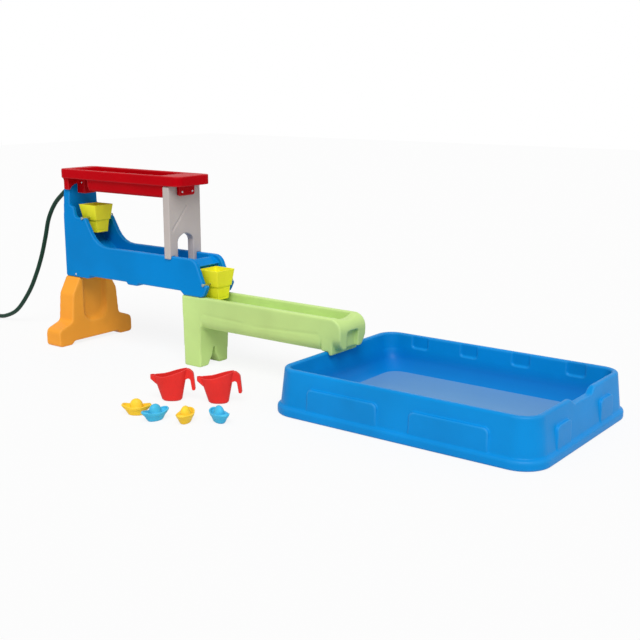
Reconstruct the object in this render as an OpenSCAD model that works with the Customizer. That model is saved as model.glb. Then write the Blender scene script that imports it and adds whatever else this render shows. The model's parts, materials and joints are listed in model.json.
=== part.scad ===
// Water table: a hose-fed cascade of three troughs with two tipping buckets, which runs
// into a play pool, with two pitchers and four boats.
// Lengths are millimetres. X runs along the cascade towards the pool, Z is up, and the
// origin is the middle of the pool's underside.

/* [Pool] */
// Length of the pool over its foot flange
pool_l = 1000; // [860:10:1200]
// Width of the pool over its foot flange
pool_w = 734; // [640:10:900]
// Height of the pool rim above the ground
pool_h = 160; // [140:5:200]
// Corner radius of the foot flange
pool_corner_r = 95; // [80:5:130]
// Height of the foot flange
flange_h = 32; // [24:1:40]
// How far the foot flange stands out from the wall
flange_out = 12; // [8:1:16]
// How far the rim's outer edge lies inside the foot flange
rim_in = 26; // [20:1:34]
// Width of the rim
rim_w = 20; // [14:1:26]
// Height of the ledge where the inner wall starts to slope to the floor
ledge_h = 70; // [55:1:85]
// Thickness of the pool floor
floor_t = 20; // [12:1:30]
// Level run of the slope from the ledge down to the floor
floor_run = 38; // [24:1:60]
// Width at the top of the pouring notch in the end rim
notch_w = 184; // [120:4:240]
// Depth of the pouring notch
notch_d = 22; // [16:1:40]
// Height of the raised wall panels
panel_h = 110; // [80:2:120]
// Length of each panel on the long walls
long_panel_l = 275; // [180:5:300]
// Length of each panel on the end walls
end_panel_l = 97; // [60:1:110]
// Width of the shallow pockets in the long inner walls
pocket_w = 70; // [40:2:90]

/* [Lower trough] */
// Length of the lower trough
lower_l = 770; // [700:5:850]
// Width of the lower trough
lower_w = 160; // [150:2:180]
// Height of the lower trough's body
lower_h = 123; // [110:1:140]
// How far the lower trough reaches past the outer edge of the pool rim
lower_reach = 79; // [70:1:95]
// Width of the trough rims
trough_rim = 20; // [16:1:22]
// Depth of the lower trough's channel
lower_depth = 62; // [50:1:75]
// Length of the lower trough's leg along the trough
leg_l = 86; // [70:1:110]
// Depth of the dished spout at the end of the lower trough
spout_d = 13; // [8:1:20]

/* [Middle trough] */
// Length of the middle trough with its tower
mid_l = 817; // [790:5:900]
// Width of the middle trough
mid_w = 164; // [158:2:180]
// Height of the middle trough's rim above its seat on the lower trough
mid_h = 146; // [136:1:160]
// Length of the middle trough that overlaps the lower trough
mid_overlap = 134; // [130:1:148]
// Height of the tower's top above the middle trough's rim
tower_h = 242; // [236:1:260]
// Run of the flank from the axle seat down to the rim
flank_run = 80; // [72:1:100]
// Run of the cheeks' end from the rim down to the lower axle seat
cheek_run = 60; // [48:1:66]
// Distance from the tower's foot to the bump under the beam
bump_gap = 232; // [200:2:260]
// Run of the ramp under the upper bucket
ramp_run = 175; // [160:5:190]
// Distance of the outlet lip from the end of the middle trough
lip_back = 115; // [110:1:125]
// Height of the lugs that hold the upper trough, above the inlet
lug_h = 46; // [40:1:50]
// Thickness of the tower's back plate
plate_t = 36; // [28:1:44]
// Width of the tower's back plate at its top
plate_w = 144; // [136:2:156]
// Height of the bucket shoulder above the middle trough's rim
shoulder_h = 111; // [106:1:118]
// Depth of the middle trough's channel
mid_depth = 70; // [60:1:80]

/* [Base stand] */
// Width of the stand over its feet
stand_w = 408; // [360:4:460]
// Thickness of the stand
stand_t = 88; // [76:1:100]
// Width of the stand above its feet
stand_body_w = 256; // [230:2:290]
// Height of the stand's feet
foot_h = 72; // [56:1:90]
// Height of the arch under the stand
stand_arch_h = 15; // [8:1:24]
// Depth of the recess in the stand's face
recess_d = 22; // [12:1:28]

/* [Upper trough] */
// Length of the shelf over the inlet, before the upper channel gets deep
shelf_l = 122; // [110:1:135]
// Width of the upper trough over its rim band
upper_w = 186; // [180:2:204]
// Height of the upper trough's rim band
band_h = 39; // [32:1:46]
// How far the upper trough's body hangs below the rim band
upper_drop = 49; // [44:1:56]
// How far the upper trough reaches past the arch support
upper_reach = 57; // [44:1:70]

/* [Arch support] */
// Width of the arch support
arch_w = 177; // [174:1:190]
// Thickness of the arch support
arch_t = 33; // [26:1:40]
// Height of the arch support above the middle trough's rim
arch_h = 274; // [270:1:286]
// Width of the arch opening
arch_gap = 88; // [70:2:94]
// Height of the arch opening's point above the middle trough's rim
arch_point_h = 88; // [70:2:110]
// Distance from the arch support's face to the middle trough's end
arch_back = 181; // [168:1:208]

/* [Buckets] */
// Width of a bucket at its rim
bucket_w = 100; // [90:1:104]
// Width of a bucket at its bottom
bucket_base_w = 60; // [56:1:72]
// How far a bucket's bottom lies in front of its middle
base_shift = 4; // [0:0.5:6]
// Height of a bucket
bucket_h = 117; // [110:1:120]
// Height of the pivot above a bucket's bottom
pivot_h = 64; // [60:1:68]
// How far the pivot lies in front of a bucket's middle
pivot_x = 4; // [2:0.5:6]
// Wall thickness of a bucket
bucket_wall = 2.5; // [2:0.1:4]
// Diameter of the bucket axles
axle_d = 8; // [6:0.5:10]
// Diameter of the push-on axle caps
cap_d = 13; // [11:0.5:15]

/* [Hose and inlet] */
// Outside diameter of the hose
hose_d = 19; // [16:0.5:22]
// Outside diameter of the inlet elbow's tube
elbow_d = 18; // [16:0.5:20]
// Diameter of the water passages
water_d = 12; // [9:0.5:13]
// Outside diameter of the hose connectors
connector_d = 27; // [26:0.5:34]
// Diameter of the threaded spigot inside a hose connector
thread_d = 22; // [20:0.5:24]
// Turns in the coil of spare hose
coil_turns = 2.25; // [1.25:0.25:2.25]
// Radius of the coil's outer turn
coil_r = 142; // [130:1:160]

/* [Toys] */
// Length of a boat
boat_l = 104; // [90:1:120]
// Width of a boat
boat_w = 58; // [50:1:68]
// Height of a boat to the top of its dome
boat_h = 56; // [50:1:64]
// Length of a boat's flat bottom
boat_base_l = 58; // [50:1:70]
// Width of a boat's flat bottom
boat_base_w = 36; // [30:1:42]
// Height of a boat's rim amidships
boat_rim_z = 30; // [26:1:34]
// Rise of a boat's rim to both ends
boat_rise = 11; // [6:1:14]
// Width of a boat's rim round its two wells
boat_rim = 5; // [3:0.5:7]
// Length of a boat's dome
dome_l = 46; // [40:1:50]
// Width of a boat's dome
dome_w = 32; // [26:1:38]
// Length of a pitcher's mouth
pitcher_l = 127; // [110:1:135]
// Width of a pitcher's mouth
pitcher_w = 68; // [60:1:90]
// Height of a pitcher at its handle
pitcher_h = 116; // [108:1:126]
// Length of a pitcher's bottom
pitcher_base_l = 72; // [64:1:84]
// Width of a pitcher's bottom
pitcher_base_w = 46; // [40:1:56]
// Drop of a pitcher's rim from its handle to its middle
pitcher_dip = 26; // [16:1:32]
// Drop of a pitcher's rim from its handle to its spout
pitcher_fall = 20; // [14:1:26]
// Wall thickness of the pitchers
toy_wall = 3; // [2:0.1:4]

/* [Fits] */
// Gap between pieces that sit in or on each other
fit_gap = 0.3; // [0.2:0.05:0.6]
// Gap round a screw in its hole
screw_gap = 0.1; // [0.05:0.05:0.3]
// Shank diameter of the screws
screw_d = 4; // [3:0.5:5]
// Head diameter of the screws
screw_head_d = 9; // [7:0.5:10]

/* [Hidden] */
$fn = 48;
arc_step = 15;
far = 2000;

// Colours
c_red = "#a80614";
c_grey = "#b1a9a3";
c_blue = "#0383cc";
c_pool = "#108bd5";
c_orange = "#f0982f";
c_green = "#b9dd84";
c_yellow = "#e3df34";
c_steel = "#c4c8cb";
c_hose = "#0a3a2a";
c_black = "#20262a";
c_toy_red = "#e83c37";
c_toy_yellow = "#ffc83c";
c_toy_blue = "#50b8e2";

// Levels, from the ground up
lower_z = pool_h + fit_gap;
lower_rim_z = lower_z + lower_h;
mid_z = lower_rim_z + fit_gap;
mid_rim_z = mid_z + mid_h;
tower_foot = 2;
stand_z = mid_z + tower_foot - fit_gap;
shoulder_z = mid_rim_z + shoulder_h;
tower_z = mid_rim_z + tower_h;
arch_z = mid_rim_z + arch_h;
band_z = arch_z + fit_gap;
upper_z = band_z + band_h;
upper_base_z = band_z - upper_drop;

// Places along the cascade, from the pool back to the tower
rim_x = -pool_l / 2 + rim_in;
lower_end_x = rim_x + lower_reach;
lower_x = lower_end_x - lower_l;
mid_end_x = lower_x + mid_overlap;
mid_x = mid_end_x - mid_l;
plate_x = mid_x + plate_t;
arch_x = mid_end_x - arch_back;
upper_end_x = arch_x + upper_reach;
upper_x = mid_x - 1;

// Channels and bucket wells
lower_in_w = lower_w - 2 * trough_rim;
mid_in_w = mid_w - 2 * trough_rim;
upper_in_w = upper_w - 2 * trough_rim;
rim_reach = max(norm([bucket_w / 2 + pivot_x, bucket_h - pivot_h]),
                norm([bucket_base_w / 2 + pivot_x, pivot_h]));
well_gap = 3.5;
stop_gap = 0.4;
well_r = rim_reach + well_gap;
axle_r = axle_d / 2;
groove_r = axle_r + fit_gap;
upper_pivot = [plate_x + well_r + 4, 0, shoulder_z];
lower_pivot = [mid_end_x - 16, 0, mid_z + 50];
axle_l = mid_w + 2;
cap_t = 4;

// Inlet, lugs and their screws
inlet_z = tower_z - 24;
bracket_l = 46;
bracket_w = 60;
bracket_wall = 5.7;
lug_t = 10;
riser_x = plate_x + 24;
lug_x = plate_x + 36;
inlet_screw_at = [plate_x + 29, bracket_w / 2, inlet_z + 36];
screw_head_t = 2.5;
tab_t = 16;
tab_w = 86;
tab_drop = 40;
arch_screw_at = [arch_x + fit_gap + tab_t, 28, band_z - 24];
tongue_w = 120;
tongue_h = 38;
tongue_l = 62;
base_screw_at = [mid_x + tongue_l, mid_w / 2, stand_z + 12];
collar_l = 20;
collar_gap = 4;
washer_t = 3;
connector_l = 34;
connector_x = mid_x - collar_gap;
hose_x = connector_x - connector_l;

// Hose route, from the connector to where it lies on the ground
hose_r = hose_d / 2;
ground_z = hose_r + 0.5;
route = [
    [hose_x, 0, inlet_z], [hose_x - 20, 0, inlet_z], [hose_x - 52, 0, inlet_z - 20],
    [hose_x - 114, 0, inlet_z - 71], [-2048, 0, 507], [-2078, 0, 422], [-2113, 0, 333],
    [-2158, 0, 246], [-2218, 0, 156], [-2310, 0, 62], [-2400, 0, 20],
    [-2470, 0, ground_z], [-2520, 0, ground_z], [-2541, 0, ground_z]
];
route_sides = 10;
route_steps = 2;
coil_sides = 6;
coil_rings = 24;
coil_pitch = hose_d + 1.6;
coil_tuck = 42;
coil_tuck_from = 1.5;
coil_lift = 7.2;
route_end = route[len(route) - 1];
coil_at = [route_end[0] - hose_d, route_end[1] - coil_r, 0];
coupling_l = 40;

// Places and headings of the loose toys
pitcher_places = [[-861, -452, 37], [-708, -377, 34]];
boat_places = [[-840, -643, 36], [-746, -648, 77], [-650, -604, 115], [-563, -534, -22]];
pitcher_fn = 40;
boat_fn = 28;

// Outline whose vertices are [x, y, radius], with each corner drawn as an arc
function outline(v) = [
    for (i = [0 : len(v) - 1])
        each corner(v[(i + len(v) - 1) % len(v)], v[i], v[(i + 1) % len(v)])
];
function flat(p) = [p[0], p[1]];
function unit(v) = v / norm(v);
function heading(v) = atan2(v[1], v[0]);
function turn(a) = a > 180 ? a - 360 : (a < -180 ? a + 360 : a);
function corner(a, b, c) = b[2] == 0 ? [flat(b)] : arc_corner(flat(a), flat(b), flat(c), b[2]);
function arc_corner(a, b, c, r) =
    let (u = unit(a - b), w = unit(c - b), half = acos(u * w) / 2,
         mid = b + unit(u + w) * r / sin(half),
         from = b + u * r / tan(half) - mid, to = b + w * r / tan(half) - mid,
         sweep = turn(heading(to) - heading(from)), n = max(2, ceil(abs(sweep) / arc_step)))
    [for (k = [0 : n]) let (g = heading(from) + sweep * k / n) mid + r * [cos(g), sin(g)]];

// Solid between y0 and y1 whose outline lies in the XZ plane
module slab_y(v, y0, y1) {
    translate([0, y1, 0]) rotate([90, 0, 0]) linear_extrude(y1 - y0) polygon(outline(v));
}

// Solid between x0 and x1 whose outline lies in the YZ plane
module slab_x(v, x0, x1) {
    translate([x0, 0, 0]) rotate([90, 0, 90]) linear_extrude(x1 - x0) polygon(outline(v));
}

// Solid between z0 and z1 whose outline lies in the XY plane
module slab_z(v, z0, z1) {
    translate([0, 0, z0]) linear_extrude(z1 - z0) polygon(outline(v));
}

// Vertices of a rectangle centred on the origin
function box_outline(l, w, r) = [
    [-l / 2, -w / 2, r], [l / 2, -w / 2, r], [l / 2, w / 2, r], [-l / 2, w / 2, r]
];

// Round bar between two Y places at an XZ place
module bar_y(at, r, y0, y1) {
    translate([at[0], y0, at[2]]) rotate([-90, 0, 0]) cylinder(r = r, h = y1 - y0);
}

// Round bar between two X places at a YZ place
module bar_x(y, z, r, x0, x1) {
    translate([x0, y, z]) rotate([0, 90, 0]) cylinder(r = r, h = x1 - x0);
}

// Copy of the children on each side of the XZ plane
module both_sides() {
    children();
    mirror([0, 1, 0]) children();
}

// Pool

wall_in = rim_in + rim_w + 8;
function pool_wall() = [
    [0, 0, 8], [0, flange_h, 12], [flange_out, flange_h + 3, 4], [rim_in, pool_h, 8],
    [rim_in + rim_w, pool_h, 7], [wall_in, ledge_h, 0], [wall_in, 0, 0]
];
// Wall profile measured outwards from the corner centre
function pool_wall_out() = [for (p = pool_wall()) [pool_corner_r - p[0], p[1], p[2]]];

module pool_straight(l, side) {
    translate([0, side - pool_corner_r, 0])
        rotate([90, 0, 90]) translate([0, 0, -l / 2]) linear_extrude(l) polygon(outline(pool_wall_out()));
}

module pool_walls() {
    straight_l = pool_l - 2 * pool_corner_r;
    straight_w = pool_w - 2 * pool_corner_r;
    for (g = [0, 180]) rotate(g) pool_straight(straight_l, pool_w / 2);
    for (g = [90, 270]) rotate(g) pool_straight(straight_w, pool_l / 2);
    for (sx = [-1, 1], sy = [-1, 1])
        translate([sx * straight_l / 2, sy * straight_w / 2, 0])
            rotate(sx > 0 ? (sy > 0 ? 0 : 270) : (sy > 0 ? 90 : 180))
                rotate_extrude(angle = 90) polygon(outline(pool_wall_out()));
}

module pool_floor_block() {
    lap = 4;
    inset = wall_in - lap;
    slab_z(box_outline(pool_l - 2 * inset, pool_w - 2 * inset, pool_corner_r - inset), 0, ledge_h);
}

module pool_bowl() {
    step = 2;
    top_in = wall_in + step;
    low_in = top_in + floor_run;
    hull() {
        slab_z(box_outline(pool_l - 2 * low_in, pool_w - 2 * low_in, pool_corner_r - 40),
               floor_t, floor_t + 1);
        slab_z(box_outline(pool_l - 2 * top_in, pool_w - 2 * top_in, pool_corner_r - top_in),
               ledge_h, ledge_h + 1);
    }
}

// Raised panel: a face that stays upright while the wall behind it leans in
module pool_panel(l, side) {
    proud_in = 9;
    low_z = flange_h - 6;
    slab_y([[-l / 2, low_z, 0], [l / 2, low_z, 0], [l / 2, panel_h, 18], [-l / 2, panel_h, 18]],
           side - rim_in - 4, side - proud_in);
}

module pool_panels() {
    gap = 60;
    for (s = [-1, 1], g = [0, 180])
        rotate(g) translate([s * (gap + long_panel_l / 2), 0, 0]) pool_panel(long_panel_l, pool_w / 2);
    end_gap = notch_w / 2 + 23;
    for (s = [-1, 1], g = [90, 270])
        rotate(g) translate([s * (end_gap + end_panel_l / 2), 0, 0]) pool_panel(end_panel_l, pool_l / 2);
}

// Upright flutes in the leaning inner walls, open to the rim
module pool_pockets() {
    pocket_depth = 2;
    low_z = 112;
    high_z = pool_h + 1;
    spacing = pool_l / 4.8;
    for (g = [0, 180], k = [-1.5 : 1 : 1.5])
        rotate(g) translate([k * spacing, 0, 0])
            slab_y([[-pocket_w / 2, low_z, 12], [pocket_w / 2, low_z, 12],
                    [pocket_w / 2, high_z, 0], [-pocket_w / 2, high_z, 0]],
                   pool_w / 2 - wall_in - 1, pool_w / 2 - rim_in - rim_w + pocket_depth);
}

module pool_notch() {
    slope = 26;
    over = 10;
    half = notch_w / 2;
    top_z = pool_h + 0.2;
    slab_x([[-half - 40, top_z + over, 0], [-half - 40, top_z, 0], [-half, top_z, 18],
            [-half + slope, pool_h - notch_d, 20], [half - slope, pool_h - notch_d, 20],
            [half, top_z, 18], [half + 40, top_z, 0], [half + 40, top_z + over, 0]],
           pool_l / 2 - wall_in - over, pool_l / 2);
}

module pool_basin() color(c_pool) difference() {
    union() {
        pool_walls();
        pool_floor_block();
        pool_panels();
    }
    pool_bowl();
    pool_pockets();
    pool_notch();
}

// Lower trough

lower_leg_x = lower_x + 6;
lower_floor_z = lower_rim_z - lower_depth;
end_wall_l = 56;

// Body with sides that tuck in towards its underside
module lower_body() {
    tuck = 24;
    tuck_h = 28;
    belly_z = lower_z + 8;
    intersection() {
        slab_y([[lower_x, lower_z, 0], [lower_end_x - 6, lower_z, 14], [lower_end_x, lower_rim_z, 48],
                [lower_x, lower_rim_z, 6]], -lower_w / 2, lower_w / 2);
        slab_x([[tuck - lower_w / 2, belly_z, 14], [lower_w / 2 - tuck, belly_z, 14],
                [lower_w / 2 - 1, belly_z + tuck_h, 50], [lower_w / 2, lower_rim_z, 5],
                [-lower_w / 2, lower_rim_z, 5], [1 - lower_w / 2, belly_z + tuck_h, 50]],
               lower_x, lower_end_x);
    }
}

// Leg with a narrow flared arch that parts its foot into two
module lower_leg() {
    point_h = 98;
    flare = 36;
    lap = 78;
    slant = 8;
    inset = 1;
    face_x = lower_leg_x + leg_l + slant;
    difference() {
        intersection() {
            slab_y([[lower_leg_x, 0, 6], [lower_leg_x + leg_l, 0, 6], [face_x, lower_z + lap, 0],
                    [lower_x, lower_z + lap, 0]], -lower_w / 2, lower_w / 2);
            slab_z([[lower_x, inset - lower_w / 2, 4], [face_x, inset - lower_w / 2, 14],
                    [face_x, lower_w / 2 - inset, 14], [lower_x, lower_w / 2 - inset, 4]],
                   0, lower_z + lap);
        }
        slab_x([[-flare, -1, 0], [-9, 42, 42], [0, point_h, 4], [9, 42, 42], [flare, -1, 0]],
               lower_leg_x - 20, lower_leg_x + leg_l + 20);
    }
}

// Saddle on the pool rim, with a hook that drops inside the rim
module lower_saddle() {
    seat_x = rim_x - 9;
    hook_x = rim_x + rim_w + 4;
    hook_t = 14;
    top_z = lower_z + 74;
    slab_y([[seat_x, lower_z, 4], [hook_x, lower_z, 0], [hook_x, pool_h - 12, 3],
            [hook_x + hook_t, pool_h - 12, 4], [hook_x + hook_t, top_z, 0], [seat_x, top_z, 0]],
           1 - lower_w / 2, lower_w / 2 - 1);
}

module lower_channel() {
    over = 30;
    end_rim = trough_rim + 5;
    intersection() {
        slab_y([[lower_x + end_rim, lower_rim_z + over, 0], [lower_x + end_rim, lower_floor_z, 20],
                [lower_end_x - end_wall_l - 24, lower_floor_z - 6, 24],
                [lower_end_x - end_wall_l, lower_rim_z - spout_d, 12],
                [lower_end_x - end_wall_l, lower_rim_z + over, 0]], -lower_w / 2, lower_w / 2);
        slab_x([[-lower_in_w / 2 + 6, lower_floor_z - 6, 14], [lower_in_w / 2 - 6, lower_floor_z - 6, 14],
                [lower_in_w / 2, lower_rim_z + over, 0], [-lower_in_w / 2, lower_rim_z + over, 0]],
               lower_x, lower_end_x);
    }
}

// Dished lip that the water runs over into the pool
module lower_spout() {
    half_w = lower_in_w / 2 - 4;
    dish_r = (pow(half_w, 2) + pow(spout_d, 2)) / (2 * spout_d);
    bar_x(0, lower_rim_z - spout_d + dish_r, dish_r, lower_end_x - end_wall_l - 20, lower_end_x + 1);
}

// Doorway-shaped recess in the end face, open at the bottom
module lower_doorway() {
    half_w = 34;
    top_z = lower_z + 73;
    low_z = lower_z - 1;
    slab_x([[-half_w, low_z, 0], [half_w, low_z, 0], [half_w, top_z, 12], [-half_w, top_z, 12]],
           lower_end_x - 20, lower_end_x + 1);
}

module lower_trough() color(c_green) difference() {
    union() {
        lower_body();
        lower_leg();
        lower_saddle();
    }
    lower_channel();
    lower_spout();
    lower_doorway();
}

// Middle trough

mid_floor_z = mid_rim_z - mid_depth;
plate_arch_r = 115;
plate_rise = 22;
plate_corner_r = 50;
corner_z = tower_z + 12;
function plate_outline(grow) = [
    [-mid_w / 2 - grow, mid_z, 0], [mid_w / 2 + grow, mid_z, 0],
    [mid_w / 2 + grow, shoulder_z - 20, 60], [plate_w / 2 + grow, corner_z + grow, plate_corner_r],
    [0, tower_z + plate_rise + grow, plate_arch_r], [-plate_w / 2 - grow, corner_z + grow, plate_corner_r],
    [-mid_w / 2 - grow, shoulder_z - 20, 60]
];

// Side outline of the tower and the long channel
module mid_body() {
    beam_z = mid_z + 14;
    foot_x = mid_x + tongue_l + 84;
    bump_x = foot_x + bump_gap;
    bump_z = beam_z - 10;
    cheek_x = upper_pivot[0];
    slab_y([[mid_x, stand_z + fit_gap, 8], [foot_x - 8, stand_z + fit_gap, 7], [foot_x, beam_z, 5],
            [bump_x - 6, beam_z, 4], [bump_x, bump_z, 6], [bump_x + 56, bump_z, 6],
            [bump_x + 62, beam_z, 4], [mid_end_x - mid_overlap + 40, beam_z, 0],
            [mid_end_x - mid_overlap + 40, mid_rim_z, 0], [cheek_x + flank_run, mid_rim_z, 105],
            [cheek_x + 14, shoulder_z, 14], [cheek_x - 48, shoulder_z, 14],
            [plate_x + 23, shoulder_z + 43, 10], [plate_x, shoulder_z + 49, 3],
            [plate_x, tower_z + 20, 0], [mid_x, tower_z + 20, 0]], -mid_w / 2, mid_w / 2);
}

// Cheeks at the outlet end, which sit on the lower trough and end in hooks for the axle
module mid_end() {
    p = lower_pivot;
    slab_y([[mid_end_x - mid_overlap - 8, mid_z + 16, 0], [mid_end_x - mid_overlap + 10, mid_z, 10],
            [mid_end_x - 20, mid_z, 24], [mid_end_x, p[2] - 12, 10], [mid_end_x, p[2] - 1.5, 5],
            [p[0] + 7, p[2] - 1.5, 0], [p[0] - 2, p[2] - 1.5, 0], [mid_end_x - cheek_run, mid_rim_z, 45],
            [mid_end_x - mid_overlap - 8, mid_rim_z, 0]], -mid_w / 2, mid_w / 2);
}

// Basin between the cheeks, from the ramp under the upper bucket to the outlet lip
module mid_channel() {
    lip_x = mid_end_x - lip_back;
    lip_run = 46;
    slab_y([[plate_x, tower_z + 40, 0], [plate_x, shoulder_z - 72, 0], [plate_x + 24, shoulder_z - 76, 30],
            [plate_x + ramp_run, mid_floor_z + 10, 60], [lip_x - lip_run, mid_floor_z, 34],
            [lip_x, mid_rim_z - 10, 8],
            [lip_x + 18, mid_rim_z - 10, 6], [lip_x + 52, mid_rim_z - 31, 0],
            [mid_end_x + 20, mid_rim_z - 31, 0],
            [mid_end_x + 20, tower_z + 40, 0]], -mid_in_w / 2, mid_in_w / 2);
}

// Space that the lower bucket swings in
module mid_well() {
    p = lower_pivot;
    half = mid_in_w / 2;
    bar_y(p, well_r, -half, half);
    translate([p[0] - well_r, -half, mid_z - 1]) cube([well_r + 80, mid_in_w, p[2] - mid_z + 1]);
    translate([p[0], -half, p[2] - 1]) cube([80, mid_in_w, mid_rim_z - p[2] + 20]);
}

// Rib behind a bucket: the rim leans on it upright and the bottom meets it when tipped
module mid_stop(at) {
    back = well_r + 6;
    face = bucket_w / 2 + pivot_x + stop_gap;
    top = bucket_h - pivot_h;
    translate(at)
        slab_y([[-back, top - 9, 0], [-face, top - 9, 2], [-face, top, 2], [-back, top, 0]], -15, 15);
}

module mid_lugs() {
    both_sides()
        slab_y([[plate_x - 4, inlet_z - 6, 0], [lug_x, inlet_z - 6, 3], [lug_x, inlet_z + lug_h, 4],
                [plate_x + 10, inlet_z + lug_h, 4], [plate_x + 10, inlet_z + 13, 0],
                [plate_x - 4, inlet_z + 13, 0]],
               bracket_w / 2 - bracket_wall - lug_t, bracket_w / 2 - bracket_wall - fit_gap);
}

module middle_trough() color(c_blue) difference() {
    union() {
        difference() {
            union() {
                intersection() {
                    mid_body();
                    slab_x(plate_outline(0), mid_x - 1, mid_end_x);
                }
                mid_end();
            }
            mid_channel();
            mid_well();
        }
        mid_lugs();
        mid_stop(upper_pivot);
        mid_stop(lower_pivot);
    }
    bar_y(upper_pivot, groove_r, -mid_w, mid_w);
    bar_y(lower_pivot, groove_r, -mid_w, mid_w);
    bar_x(0, inlet_z, elbow_d / 2 + fit_gap, mid_x - 1, plate_x + 1);
    base_tongue(fit_gap);
    base_screw_holes();
    inlet_screw_holes();
}

// Base stand

stand_x = mid_x - 3;

// Tongue that plugs into the tower's foot
module base_tongue(grow) {
    tongue_x = mid_x + 8;
    translate([tongue_x - grow, -tongue_w / 2 - grow, stand_z - 1])
        cube([tongue_l + 2 * grow, tongue_w + 2 * grow, tongue_h + 1 + grow]);
}

module base_screw_holes() {
    both_sides() bar_y(base_screw_at, screw_d / 2 + screw_gap, tongue_w / 2 - 20, mid_w);
}

module stand_body() {
    half = stand_w / 2;
    body = stand_body_w / 2;
    shoulder = 70;
    arch = body - 6;
    slab_x([[-half, 0, 12], [-arch - 14, 0, 6], [-arch, stand_arch_h, 8], [arch, stand_arch_h, 8],
            [arch + 14, 0, 6], [half, 0, 12], [half, foot_h, 22], [body + 4, foot_h + 26, 20],
            [body - 6, stand_z - shoulder, 14], [body - 46, stand_z, 8], [46 - body, stand_z, 8],
            [6 - body, stand_z - shoulder, 14], [-body - 4, foot_h + 26, 20], [-half, foot_h, 22]],
           stand_x, stand_x + stand_t);
}

// Tapered recess, open at the top
module stand_recess() {
    face_x = stand_x + stand_t;
    half = stand_body_w / 2 - 62;
    draft = 16;
    corner_r = min(46, half - draft - 2);
    low_z = foot_h + 14;
    hull() for (k = [0, 1])
        slab_x([[draft * k - half, low_z + draft * k, corner_r],
                [half - draft * k, low_z + draft * k, corner_r],
                [half - draft * k, stand_z + 1, 0], [draft * k - half, stand_z + 1, 0]],
               face_x - recess_d * k, face_x - recess_d * k + 1);
}

module base_stand() color(c_orange) difference() {
    union() {
        difference() {
            stand_body();
            stand_recess();
        }
        base_tongue(0);
    }
    base_screw_holes();
}

// Upper trough

channel_x = plate_x + 22;
channel_end_x = arch_x - arch_t - 18;
deep_x = plate_x + shelf_l;
deck_t = 8;
shallow_z = band_z + deck_t;
upper_floor_t = 13;

module upper_band() {
    mid = (upper_x + upper_end_x) / 2;
    translate([mid, 0, 0])
        slab_z(box_outline(upper_end_x - upper_x, upper_w, 25), band_z, upper_z);
}

// Deep body between the tower and the arch support
module upper_body() {
    inset = 10;
    end_x = arch_x - arch_t - fit_gap;
    intersection() {
        slab_y([[deep_x + 4, upper_base_z, 8], [end_x, upper_base_z, 4], [end_x, band_z + 1, 0],
                [deep_x, band_z + 1, 0]], -upper_w / 2, upper_w / 2);
        slab_x([[-upper_w / 2 + inset + 5, upper_base_z, 14], [upper_w / 2 - inset - 5, upper_base_z, 14],
                [upper_w / 2 - inset, band_z + 1, 0], [inset - upper_w / 2, band_z + 1, 0]],
               deep_x, arch_x);
    }
}

// End block that straddles the tower's arched top
module upper_end_block() {
    inset = 10;
    difference() {
        slab_x([[inset - upper_w / 2, upper_base_z, 5], [upper_w / 2 - inset, upper_base_z, 5],
                [upper_w / 2 - inset, band_z + 1, 0], [inset - upper_w / 2, band_z + 1, 0]],
               upper_x + 15, plate_x + 7);
        slab_x(plate_outline(fit_gap), upper_x, plate_x + 8);
    }
}

// Socket for the tower's lugs and the inlet elbow
module upper_bracket() {
    low_z = inlet_z - 10;
    pocket_t = lug_t + 2 * fit_gap;
    difference() {
        translate([plate_x + fit_gap, -bracket_w / 2, low_z])
            cube([bracket_l, bracket_w, band_z - low_z + 1]);
        both_sides()
            translate([plate_x - 1, bracket_w / 2 - bracket_wall - pocket_t + fit_gap, low_z - 1])
                cube([lug_x - plate_x + 1 + fit_gap, pocket_t, inlet_z + lug_h - low_z + 1 + fit_gap]);
    }
}

module upper_channel() {
    over = 20;
    half = upper_in_w / 2;
    slab_y([[channel_x - 12, upper_z + over, 0], [channel_x, shallow_z, 8], [deep_x + 10, shallow_z, 0],
            [deep_x + 48, upper_base_z + upper_floor_t, 10],
            [channel_end_x - 12, upper_base_z + upper_floor_t + 4, 10], [channel_end_x, upper_z + over, 0]],
           -half, half);
}

// Slot low in the body's end, over the upper bucket
module upper_outlet() {
    slot_w = 36;
    slot_h = 12;
    translate([deep_x - 10, -slot_w / 2, upper_base_z + upper_floor_t]) cube([70, slot_w, slot_h]);
}

module upper_tab() {
    translate([arch_x + fit_gap, 0, 0])
        slab_x([[-tab_w / 2, band_z - tab_drop, 8], [tab_w / 2, band_z - tab_drop, 8],
                [tab_w / 2, band_z + 1, 0], [-tab_w / 2, band_z + 1, 0]], 0, tab_t);
}

module inlet_screw_holes() {
    both_sides() bar_y(inlet_screw_at, screw_d / 2 + screw_gap, bracket_w / 2 - 16, bracket_w);
}

module arch_screw_holes() {
    for (s = [-1, 1])
        bar_x(s * arch_screw_at[1], arch_screw_at[2], screw_d / 2 + screw_gap,
              arch_screw_at[0] - 40, arch_screw_at[0] + 10);
}

module upper_trough() color(c_red) difference() {
    union() {
        upper_band();
        upper_body();
        upper_end_block();
        upper_bracket();
        upper_tab();
    }
    upper_channel();
    upper_outlet();
    inlet_elbow_solid(fit_gap);
    inlet_screw_holes();
    arch_screw_holes();
}

// Arch support

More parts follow.
